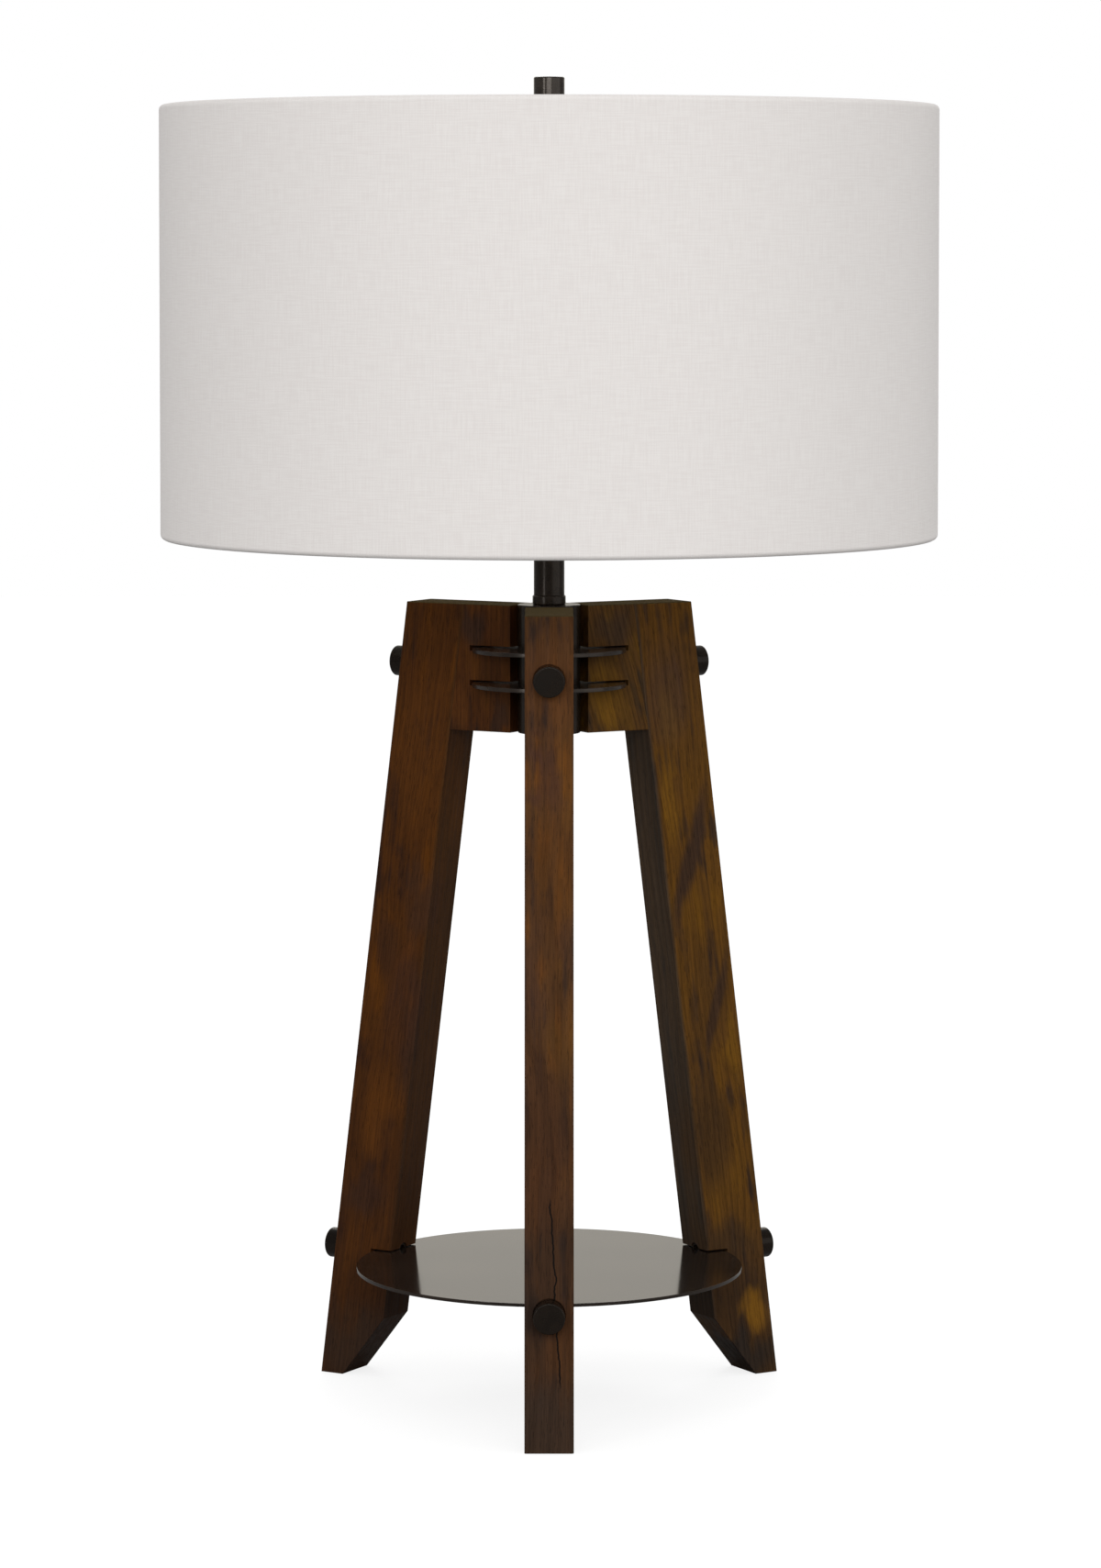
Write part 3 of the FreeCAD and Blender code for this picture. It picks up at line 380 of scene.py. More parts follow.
@dataclass(frozen=True)
class StainedWalnut(Finish):
    """Walnut, planed and sanded, wiped with a dark stain, under a thin dull lacquer.

    The stain gives soft blotches, from purple-black to orange, over faint growth rings, and
    the open pores stay as fine dark dashes.

    Attributes:
        heading: The leg's heading about the lamp's axis.
        slant: How far the board leans from upright, in radians.
        shift: Where the board was cut from the log, in metres.
        dark: Colour of the darkest blotches.
        body: Colour of most of the board.
        warm: Colour of the redder streaks.
        pale: Colour of the palest patches.
        pale_share: How much of the pale colour shows in a patch.
        dark_share: How much of the dark colour shows in a blotch.
        inside: Colour of painted shade on the face that looks to the lamp's axis.
        inner_face_shade_share: How much of that painted shade shows there.
        inside_edge: Distance of that face from the board's own axis, in metres.
        inside_reach_mm: How far beyond that face the colour fades.
        rings_tilt: How far the rings slant across the face, in radians.
        rings_share: How much the rings darken the wood.
        foot: The places along the grain where the foot's darker colour begins, and where it
            is full, in metres: partly stain, partly painted shade toward the floor.
        foot_stain_and_shade_share: How much of that darker colour there is.
        end_grain_and_sheen: Colour of the tops: their end grain, with a painted sheen of grazing
            light.
        sawn_mm: How far below the top the end grain begins, and is full.
        blots: The board's own large blots.
        crack: The crack in the outer face, if it has one.
        tones: Where the stain stops being dark, is body and still is, and is warm.
        streak_part: How much the streaks count in that, beside the blotches.
        pale_band: Where in the patches the pale colour begins, and is full.
        dark_band: Where in the patches the dark colour begins, and is full.
        drift_mm: Size of the bends in the grain.
        wander_mm: How far the grain wanders.
        waver_mm: How far the blots' edges waver.
        blotch_mm: Size of the blotches out, across and along the grain.
        streak_mm: Size of the streaks.
        fine_mm: Size of the fine lines.
        fine_light: How light the darkest and the lightest of them are.
        patch_mm: Size of the pale and dark patches.
        ring_mm: Width of a growth ring.
        crest_band: Where in a ring's wave the late wood begins, and is full.
        ring_band: Where in that the dark line begins, and is full.
        pith_mm: Distance of the pith from the board's axis.
        uneven_mm: Size of the places where the rings are wider or narrower.
        uneven: How far the rings shift there, in radians.
        pore_mm: Size of the pores. Walnut's are 0.1 to 0.2 mm wide, drawn three times as wide
            to show at all.
        pore_band: Where in their pattern a pore begins, and is full.
        pore_light: How light the wood is in a pore.
        pore_depth_mm: How deep a pore is.
        arris_painted_shade: How light the rounded edges are, in red, green, blue: painted shade on
            them.
        satin: How dull the lacquer is, from its glossiest to its dullest streak.
        mirror: How much it mirrors straight on. It is thin and sank into the wood.
    """

    heading: Heading
    slant: float
    shift: Triple
    dark: str
    body: str
    warm: str
    pale: str
    pale_share: float = 0.5
    dark_share: float = 0.7
    inside: str = "2c2218"
    inner_face_shade_share: float = 0.0
    inside_edge: float = 0.0
    inside_reach_mm: float = 3.0
    rings_tilt: float = 0.05
    rings_share: float = 0.15
    foot: Pair = (0.15, 0.05)
    foot_stain_and_shade_share: float = 0.0
    end_grain_and_sheen: str = "53462b"
    sawn_mm: Pair = (0.6, 0.2)
    blots: tuple[Blot, ...] = ()
    crack: Crack | None = None
    tones: tuple[float, ...] = (0.36, 0.46, 0.54, 0.66)
    streak_part: float = 0.30
    pale_band: Pair = (0.50, 0.66)
    dark_band: Pair = (0.46, 0.32)
    drift_mm: Triple = (40.0, 40.0, 120.0)
    wander_mm: Triple = (8.0, 8.0, 0.0)
    waver_mm: Triple = (25.0, 25.0, 40.0)
    blotch_mm: Triple = (15.0, 15.0, 42.0)
    streak_mm: Triple = (3.6, 3.6, 200.0)
    fine_mm: Triple = (0.9, 0.9, 60.0)
    fine_light: Pair = (0.87, 1.12)
    patch_mm: Triple = (30.0, 30.0, 80.0)
    ring_mm: float = 3.4
    crest_band: Pair = (-0.4, 1.0)
    ring_band: Pair = (0.3, 1.0)
    pith_mm: float = 60.0
    uneven_mm: Triple = (9.0, 9.0, 90.0)
    uneven: float = 9.0
    pore_mm: Triple = (0.5, 0.5, 6.0)
    pore_band: Pair = (0.62, 0.72)
    pore_light: float = 0.70
    pore_depth_mm: float = 0.05
    arris_painted_shade: Triple = (0.36, 0.34, 0.34)
    satin: Pair = (0.46, 0.60)
    mirror: float = 0.06

    def dress(self, tree: Tree) -> Inputs:
        """Adds grain, stain blotches, rings, pores and the lacquer.

        Args:
            tree: The material's node tree.

        Returns:
            The Principled shader's inputs.
        """
        piece = add(tree, "TexCoord")["Object"]
        ahead = {"Vector": piece, "Rotation": (0.0, 0.0, -self.heading.angle)}
        lean = {"Vector": add(tree, "Mapping", ahead)[0], "Rotation": (0.0, self.slant, 0.0)}
        board = add(tree, "Mapping", lean)[0]
        cut = add(tree, "VectorMath", (board, self.shift), operation="ADD")[0]
        log = pushed(tree, cut, speckle(tree, cut, self.drift_mm), self.wander_mm)
        blotches = speckle(tree, log, self.blotch_mm, 3.0)
        streaks = speckle(tree, log, self.streak_mm)
        fine = speckle(tree, log, self.fine_mm)
        pits = speckle(tree, log, self.pore_mm, 0.0)
        pores = add(tree, "MapRange", (pits, *self.pore_band), **SMOOTH)[0]
        stained = self.stained(tree, board, log, blotches, streaks)
        height = add(tree, "SeparateXYZ", (piece,))[2]
        # Painted sheen: the tops get a lighter, greyer colour for the light that grazes them, over
        # end grain that is also made dull.
        ends = [Place.of("leg_front").top - part * MM for part in self.sawn_mm]
        end_grain_and_sheen = add(tree, "MapRange", (height, *ends), **SMOOTH)[0]
        stained = add(tree, "Mix", {0: end_grain_and_sheen, 6: stained, 7: linear(self.end_grain_and_sheen)}, **COLOUR)[2]
        for pattern, band, light in (
                (self.rings(tree, log), self.ring_band, (1.0, 1.0 - self.rings_share)),
                (fine, MIDDLE, self.fine_light),
                (pores, (0.0, 1.0), (1.0, self.pore_light))):
            stained = shaded(tree, stained, pattern, band, light)
        # Painted shade: the rounded edges are darkened where they turn away from the light.
        arris = add(tree, "Attribute", attribute_name="arris")["Fac"]
        stained = add(tree, "Mix", {0: arris, 6: stained, 7: (*self.arris_painted_shade, 1.0)},
                      **MULTIPLY)[2]
        depth = add(tree, "Math", (fine, pores), operation="SUBTRACT")[0]
        if self.crack:
            crack = self.crack.line(tree, board)
            stained = add(tree, "Mix", {0: crack, 6: stained, 7: linear(self.crack.colour)},
                          **COLOUR)[2]
            depth = add(tree, "Math", (crack, -self.crack.depth, depth),
                        operation="MULTIPLY_ADD")[0]
        satin = add(tree, "MapRange", (streaks, *MIDDLE, *self.satin), **SMOOTH)[0]
        return {
            "Base Color": stained,
            "Roughness": add(tree, "Mix", {0: end_grain_and_sheen, 6: satin, 7: WHITE}, **COLOUR)[2],
            "Normal": add(tree, "Bump", {"Height": depth, "Strength": 0.35,
                                         "Distance": self.pore_depth_mm * MM})[0],
            "Specular IOR Level": self.mirror,
        }

    def stained(self, tree: Tree, board: Socket, log: Socket, blotches: Socket,
                streaks: Socket) -> Socket:
        """Wipes on blotches, patches and blots, painted shade on the inner face, and a darker foot.

        Args:
            tree: The material's node tree.
            board: The place in the board.
            log: The place in the log that it was cut from.
            blotches: The pattern of the blotches.
            streaks: The pattern of the streaks.

        Returns:
            The stain's colour.
        """
        tone = add(tree, "Mix", {0: self.streak_part, 6: blotches, 7: streaks}, **COLOUR)[2]
        colours = [linear(code) for code in (self.dark, self.body, self.body, self.warm)]
        colour = add(tree, "ValToRGB", (tone,), tuple(zip(self.tones, colours)))[0]
        patches = speckle(tree, log, self.patch_mm, 2.0)
        out, _, along = add(tree, "SeparateXYZ", (board,))
        inside = (self.inside_edge + self.inside_reach_mm * MM, self.inside_edge)
        for pattern, code, band, share in (
                (patches, self.pale, self.pale_band, self.pale_share),
                (patches, self.dark, self.dark_band, self.dark_share),
                # Painted shade: the face that looks to the lamp's axis gets a darker, greyer
                # colour.
                (out, self.inside, inside, self.inner_face_shade_share),
                # Darker toward the foot: partly stain, partly painted shade toward the floor.
                (along, self.dark, self.foot, self.foot_stain_and_shade_share)):
            colour = tinted(tree, colour, pattern, code, band, share)
        wavering = pushed(tree, board, blotches, self.waver_mm)
        for blot in self.blots:
            colour = blot.over(tree, colour, wavering)
        return colour

    def rings(self, tree: Tree, log: Socket) -> Socket:
        """Draws the growth rings, round a pith that lies beside the board.

        Args:
            tree: The material's node tree.
            log: The place in the log.

        Returns:
            From 0 in the early wood to 1 at the end of the late wood.
        """
        pith = (self.pith_mm * MM, self.pith_mm * MM / 3, 0.0)
        tilt = (self.rings_tilt, self.rings_tilt / 2, 0.0)
        tilted = add(tree, "Mapping", (log, pith, tilt))[0]
        level = add(tree, "VectorMath", (tilted, (1.0, 1.0, 0.0)), operation="MULTIPLY")[0]
        reach = add(tree, "VectorMath", (level,), operation="LENGTH")["Value"]
        uneven = speckle(tree, log, self.uneven_mm, 2.0)
        wave = add(tree, "Math", (uneven, self.uneven), operation="MULTIPLY")[0]
        phase = add(tree, "Math", (reach, FULL_TURN / (self.ring_mm * MM), wave),
                    operation="MULTIPLY_ADD")[0]
        crest = add(tree, "Math", (phase,), operation="SINE")[0]
        return add(tree, "MapRange", (crest, *self.crest_band), **SMOOTH)[0]


@dataclass(frozen=True)
class Skin(Finish):
    """What metal and moulded finishes share: soft spots of colour over fine lines or grit.

    Attributes:
        main: The main colour.
        spot: Colour of the spots.
        rough: How dull it is.
        swing: How much duller or glossier it is where the pattern is low, and where high.
        cloudy: Whether the spots make it so, and not the lines.
        spot_mm: Size of the spots.
        spot_detail: How many finer layers the spots have.
        spot_band: Where in the pattern a spot begins, and is full.
        spot_share: How much of its colour shows there.
        line_mm: Size of the lines or the grit along X, Y and Z.
        line_depth_mm: Their depth.
        line_share: How much of that depth shows.
    """

    main: str
    spot: str
    rough: float
    swing: Pair
    cloudy: bool
    spot_mm: float
    spot_detail: float
    spot_band: Pair
    spot_share: float
    line_mm: Triple
    line_depth_mm: float
    line_share: float

    def dress(self, tree: Tree) -> Inputs:
        """Adds the spots and the lines.

        Args:
            tree: The material's node tree.

        Returns:
            The Principled shader's inputs.
        """
        piece = add(tree, "TexCoord")["Object"]
        spots = speckle(tree, piece, [self.spot_mm] * 3, self.spot_detail)
        lines = speckle(tree, piece, self.line_mm)
        hazed = spots if self.cloudy else lines
        dull = [self.rough * part for part in self.swing]
        return {
            "Base Color": tinted(tree, linear(self.main), spots, self.spot, self.spot_band,
                                 self.spot_share),
            "Roughness": add(tree, "MapRange", (hazed, *MIDDLE, *dull), **SMOOTH)[0],
            "Normal": add(tree, "Bump", {"Height": lines, "Strength": self.line_share,
                                         "Distance": self.line_depth_mm * MM})[0],
        }


@dataclass(frozen=True)
class DarkMetal(Skin):
    """Turned or pressed steel with a dark bronze bath finish under clear lacquer.

    The bath leaves a brown-black skin with faint cloudy spots, and the lacquer gives it a
    soft satin light. The lines are those of the tool.

    Attributes:
        mirror: How much the lacquer mirrors straight on.
        tint: The colour of what it mirrors.
    """

    main: str = "1a130d"
    spot: str = "221b15"
    rough: float = 0.24
    swing: Pair = (1.12, 0.88)
    cloudy: bool = True
    spot_mm: float = 9.0
    spot_detail: float = 3.0
    spot_band: Pair = (0.38, 0.66)
    spot_share: float = 1.0
    line_mm: Triple = (40.0, 40.0, 0.7)
    line_depth_mm: float = 0.004
    line_share: float = 0.5
    mirror: float = 0.30
    tint: Colour = (1.0, 0.90, 0.81, 1.0)

    def dress(self, tree: Tree) -> Inputs:
        """Adds the lacquer's mirror."""
        return super().dress(tree) | {"Specular IOR Level": self.mirror, "Specular Tint": self.tint}


@dataclass(frozen=True)
class BrightMetal(Skin):
    """Bare or plated metal: zinc plate, drawn brass or rolled aluminium.

    It mirrors in its own colour, with a haze that varies, fine draw lines and a little
    tarnish in spots.
    """

    main: str = "c4c4c0"
    spot: str = "8d8b84"
    rough: float = 0.28
    swing: Pair = (0.8, 1.25)
    cloudy: bool = False
    spot_mm: float = 5.0
    spot_detail: float = 4.0
    spot_band: Pair = (0.55, 0.78)
    spot_share: float = 0.4
    line_mm: Triple = (30.0, 30.0, 0.5)
    line_depth_mm: float = 0.004
    line_share: float = 0.4

    def dress(self, tree: Tree) -> Inputs:
        """Makes it metal."""
        return super().dress(tree) | {"Metallic": 1.0}


@dataclass(frozen=True)
class Moulded(Skin):
    """Moulded or pressed plastic and fibre: an even colour with faint mottling.

    The grit is the mould's texture, drawn 2 to 3 times as coarse as the real one.
    """

    main: str = "14120f"
    spot: str = "1c1915"
    rough: float = 0.42
    swing: Pair = (0.85, 1.15)
    cloudy: bool = False
    spot_mm: float = 6.0
    spot_detail: float = 3.0
    spot_band: Pair = (0.35, 0.7)
    spot_share: float = 1.0
    line_mm: Triple = (0.4, 0.4, 0.4)
    line_depth_mm: float = 0.01
    line_share: float = 0.25


@dataclass(frozen=True)
class Linen(Finish):
    """Bleached linen in plain weave, laminated on a stiff sheet.

    The threads give fine level and upright dashes, a little lighter or darker where a
    thread is thick or thin, and a soft even light with no gloss.

    Attributes:
        cloth: Colour of the cloth.
        thin: Colour where a thin thread lets the gap show.
        thin_band: Where in the threads' pattern a thread is thin, and where it is thick.
        gap_light: How light a gap between threads is.
        thread_mm: Spacing of the threads. Real linen has about 0.6 mm, which one pixel of
            the picture just loses, so it is drawn a little coarser.
        thread_depth_mm: How deep the weave and its slubs are.
        slub_mm: Length and width of a thick or thin place in a thread, and its depth in the
            pattern, which lies flat.
        glued: How light the cloth is right at a rim: painted shade along both rolled rims.
        rim_shade_mm: How far from the rim that painted shade reaches.
    """

    cloth: str = "e6e2df"
    thin: str = "e1dcd9"
    thin_band: Pair = (0.36, 0.64)
    gap_light: float = 0.98
    thread_mm: float = 0.8
    thread_depth_mm: float = 0.12
    slub_mm: Triple = (16.0, 0.9, 100.0)
    glued: float = 0.93
    rim_shade_mm: float = 3.0

    def dress(self, tree: Tree) -> Inputs:
        """Adds the weave, its slubs and painted shade along both rims.

        Args:
            tree: The material's node tree.

        Returns:
            The Principled shader's inputs.
        """
        sheet = add(tree, "UVMap", uv_map="cloth")[0]
        weave = self.weave(tree, sheet)
        length, width, flat = self.slub_mm
        level = speckle(tree, sheet, (length, width, flat), 2.0)
        upright = speckle(tree, sheet, (width, length, flat), 2.0)
        slubs = add(tree, "Mix", {0: 0.5, 6: level, 7: upright}, **COLOUR)[2]
        colour = tinted(tree, linear(self.thin), slubs, self.cloth, self.thin_band)
        colour = shaded(tree, colour, weave, (0.0, 0.5), (self.gap_light, 1.0))
        up = add(tree, "SeparateXYZ", (sheet,))[Lie.UPRIGHT.value]
        drum = Place.of("shade_cloth")
        # Painted shade: the cloth darkens toward both rolled rims.
        for rim, inward in ((drum.top, -self.rim_shade_mm * MM), (drum.floor, self.rim_shade_mm * MM)):
            colour = shaded(tree, colour, up, (rim + inward, rim), (1.0, self.glued))
        height = add(tree, "Math", (weave, 0.6, slubs), operation="MULTIPLY_ADD")[0]
        return {
            "Base Color": colour,
            "Normal": add(tree, "Bump", {"Height": height, "Strength": 0.35,
                                         "Distance": self.thread_depth_mm * MM})[0],
            "Roughness": 0.92,
            "Specular IOR Level": 0.2,
            "Sheen Weight": 0.12,
            "Sheen Roughness": 0.5,
        }

    def weave(self, tree: Tree, sheet: Socket) -> Socket:
        """Crosses two sets of threads.

        Args:
            tree: The material's node tree.
            sheet: The place on the cloth, in metres.

        Returns:
            The threads' height, from 0 in a gap to 1 on a crown.
        """
        turns = FULL_TURN / (2 * self.thread_mm * MM)
        parts = add(tree, "SeparateXYZ", (sheet,))
        waves = []
        for lie in Lie:
            phase = add(tree, "Math", (parts[lie.value], turns), operation="MULTIPLY")[0]
            waves.append(add(tree, "Math", (phase,), operation="SINE")[0])
        crossed = add(tree, "Math", waves, operation="MULTIPLY")[0]
        return add(tree, "Math", (crossed,), operation="ABSOLUTE")[0]


BRONZE = DarkMetal("steel_turned_dark_bronze")
# A darker, less glossy copy of the dark bronze for the bolt heads: painted shade, as their faces
# mirror the dim room before them.
BRONZE_HEAD = DarkMetal("steel_bolt_bronze_painted_shade", "120d09", "18120d", mirror=0.22,
                        line_mm=(1.2, 1.2, 1.2))
BRONZE_SHEET = DarkMetal("steel_sheet_dark_bronze", "1a1512", "241d18", 0.11, mirror=0.42,
                         spot_mm=60.0, line_mm=(60.0, 60.0, 60.0), line_depth_mm=0.002)
BRONZE_PLATE = DarkMetal("steel_plate_dark_bronze", "201a16", "302822", 0.22, mirror=0.45,
                         spot_mm=20.0)
# A lighter, glossier copy of the dark bronze for the finial: painted highlight for the light it
# catches above the shade.
BRONZE_KNOB = DarkMetal("steel_knob_bronze_painted_highlight", "1c1815", "2a2521", 0.2, mirror=0.62)
BRONZE_WIRE = DarkMetal("steel_wire_bronze_plated", "33261c", "473526", 0.3, mirror=0.4)
ZINC = BrightMetal("steel_zinc_plated")
BRASS = BrightMetal("brass_drawn_lacquered", "c9aa62", "96773a", 0.25)
BRASS_CONTACT = BrightMetal("brass_stamped", "cfae68", "a3833f")
ALUMINIUM = BrightMetal("aluminium_rolled", "d4d4d2", "a9a9a6", 0.3)
NYLON = Moulded("nylon_moulded_black")
PHENOLIC = Moulded("phenolic_pressed_black", "191411", "231c17", 0.3)
KNOB = Moulded("phenolic_pressed_glossy", "15110e", "1d1814", 0.16)
FIBRE = Moulded("vulcanised_fibre_sheet", "6b5038", "80634a", 0.7, spot_mm=2.5)
STYRENE = Moulded("styrene_sheet_white", "efece6", "ede9e2", 0.45, spot_mm=25.0)
ENAMEL = Moulded("steel_wire_white_enamel", "e4e3de", "dad8d1", 0.3, spot_mm=12.0)
LINEN = Linen("linen_plain_weave_laminated")


@dataclass(frozen=True)
class Corner:
    """A corner of a profile that is turned about an axis.

    Attributes:
        out: Distance from the axis, in metres.
        up: Place along the axis, in metres.
        ease: Radius of the corner's rounding, in metres.
    """

    out: float
    up: float
    ease: float = 0.0


@dataclass(frozen=True)
class Place:
    """The box of a CAD node, in metres.

    Attributes:
        low: Its lowest corner.
        high: Its highest corner.
    """

    low: Vector
    high: Vector

    @classmethod
    def of(cls, node: str) -> "Place":
        """Reads a CAD node's box by name."""
        low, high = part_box(node)
        return cls(Vector(low), Vector(high))

    @property
    def radius(self) -> float:
        """Half its width along X."""
        return (self.high.x - self.low.x) / 2

    @property
    def floor(self) -> float:
        """Its underside."""
        return self.low.z

    @property
    def top(self) -> float:
        """Its upper side."""
        return self.high.z


def turned(corners: Sequence[Corner], steps: int = 96) -> Shape:
    """Turns a profile about the upright axis.

    Args:
        corners: The profile's corners, in order. It is closed unless it starts on the axis.
        steps: How many facets go round.

    Returns:
        The turned shape, its faces pointing out.
    """
    shape = bmesh.new()
    marks = [shape.verts.new((corner.out, 0.0, corner.up)) for corner in corners]
    for first, second in zip(marks, marks[1:]):
        shape.edges.new((first, second))
    if all(corner.out > 0 for corner in corners):
        shape.edges.new((marks[-1], marks[0]))
    for ease in sorted({corner.ease for corner in corners if corner.ease}):
        chosen = [mark for mark, corner in zip(marks, corners) if corner.ease == ease]
        bmesh.ops.bevel(shape, geom=chosen, offset=ease, offset_type="OFFSET",
                        segments=ROUND_STEPS, profile=0.5, affect="VERTICES", material=-1,
                        clamp_overlap=True)
    bmesh.ops.spin(shape, geom=shape.verts[:] + shape.edges[:], angle=FULL_TURN, steps=steps,
                   use_merge=True, **AXIS)
    bmesh.ops.remove_doubles(shape, verts=shape.verts, dist=MERGE)
    bmesh.ops.recalc_face_normals(shape, faces=shape.faces)
    return shape


def eased(node: str, width_mm: float, sharpest: float = 40.0,
          spared: Callable[[bmesh.types.BMEdge], bool] | None = None) -> Shape:
    """Copies a CAD node and takes the sharpness off its edges.

    Args:
        node: The node's name.
        width_mm: How wide the eased edge is, in millimetres.
        sharpest: Edges that turn by more than this many degrees are eased.
        spared: Tells which edges stay sharp all the same.

    Returns:
        The eased shape, whose rounded faces have an arris of 1.
    """
    shape = bmesh.new()
    shape.from_mesh(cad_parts[node].data)
    bmesh.ops.remove_doubles(shape, verts=shape.verts, dist=MERGE)
    bmesh.ops.dissolve_limit(shape, angle_limit=FLAT, verts=shape.verts, edges=shape.edges)
    arris = shape.faces.layers.float.new("arris")
    sharp = [edge for edge in shape.edges
             if edge.is_manifold and edge.calc_face_angle() > math.radians(sharpest)
             and not (spared and spared(edge))]
    rounded = bmesh.ops.bevel(shape, geom=sharp, offset=width_mm * MM, offset_type="OFFSET",
                              segments=2, profile=0.5, affect="EDGES", material=-1,
                              clamp_overlap=True)
    for face in rounded["faces"]:
        face[arris] = 1.0
    return shape


def made(shape: Shape, name: str, material: bpy.types.Material | None = None) -> bpy.types.Object:
    """Makes an object of a shape, which is used up.

    Args:
        shape: The shape.
        name: The object's name.
        material: What it is made of.

    Returns:
        The object.
    """
    mesh = bpy.data.meshes.new(name)
    shape.to_mesh(mesh)
    shape.free()
    if material:
        mesh.materials.append(material)
    piece = bpy.data.objects.new(name, mesh)
    bpy.context.scene.collection.objects.link(piece)
    return piece


def show(shape: Shape, name: str, finish: Finish, body: Body, node: str,
         smooth: bool = True) -> bpy.types.Object:
    """Makes a piece of a shape: dressed, riding on its body, standing for its CAD node.

    Args:
        shape: The shape, which is used up.
        name: The piece's name.
        finish: What it is dressed with.
        body: The body that it rides on.
        node: The CAD node that it replaces.
        smooth: Whether its faces are shaded smooth but for sharp edges.

    Returns:
        The piece.
    """
    piece = made(shape, name, finish.material())
    mesh = piece.data
    mesh.polygons.foreach_set("use_smooth", [smooth] * len(mesh.polygons))
    if smooth:
        mesh.set_sharp_from_angle(angle=SHARP)
        piece.modifiers.new("even shading", "WEIGHTED_NORMAL").keep_sharp = True
    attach(piece, body.value)
    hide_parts(node)
    LOG.info("%s: %d faces for %s", name, len(mesh.polygons), node)
    return piece


def dress(finish: Finish, *nodes: str) -> None:
    """Gives CAD nodes that stay as they are their finish.

    Args:
        finish: What they are dressed with.
        *nodes: The nodes' names.
    """
    for node in nodes:
        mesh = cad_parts[node].data
        for index in range(len(mesh.materials)):
            mesh.materials[index] = finish.material()
        LOG.info("%s: dressed in %s", node, finish.name)


@dataclass(frozen=True)
class Ring:
    """A turned ring, disc or tube round the lamp's axis, as tall and wide as its CAD node.

    Attributes:
        name: The piece's name.
        node: The CAD node that it replaces.
        bore: Radius of its hole.
        ease_mm: Rounding of its outer edges.
        finish: What it is dressed with.
        slot: The material slot. It is not used.
        steps: How many facets go round.
    """

    name: str
    node: str
    bore: float
    ease_mm: float
    finish: Finish = BRONZE
    slot: Slot = Slot.DARK_BRONZE
    steps: int = 96

    def build(self) -> None:
        """Turns the ring."""
        place, ease = Place.of(self.node), self.ease_mm * MM
        shape = turned([
            Corner(place.radius, place.floor, ease),
            Corner(place.radius, place.top, ease),
            Corner(self.bore, place.top),
            Corner(self.bore, place.floor),
        ], self.steps)
        show(shape, self.name, self.finish, Body.BASE, self.node)


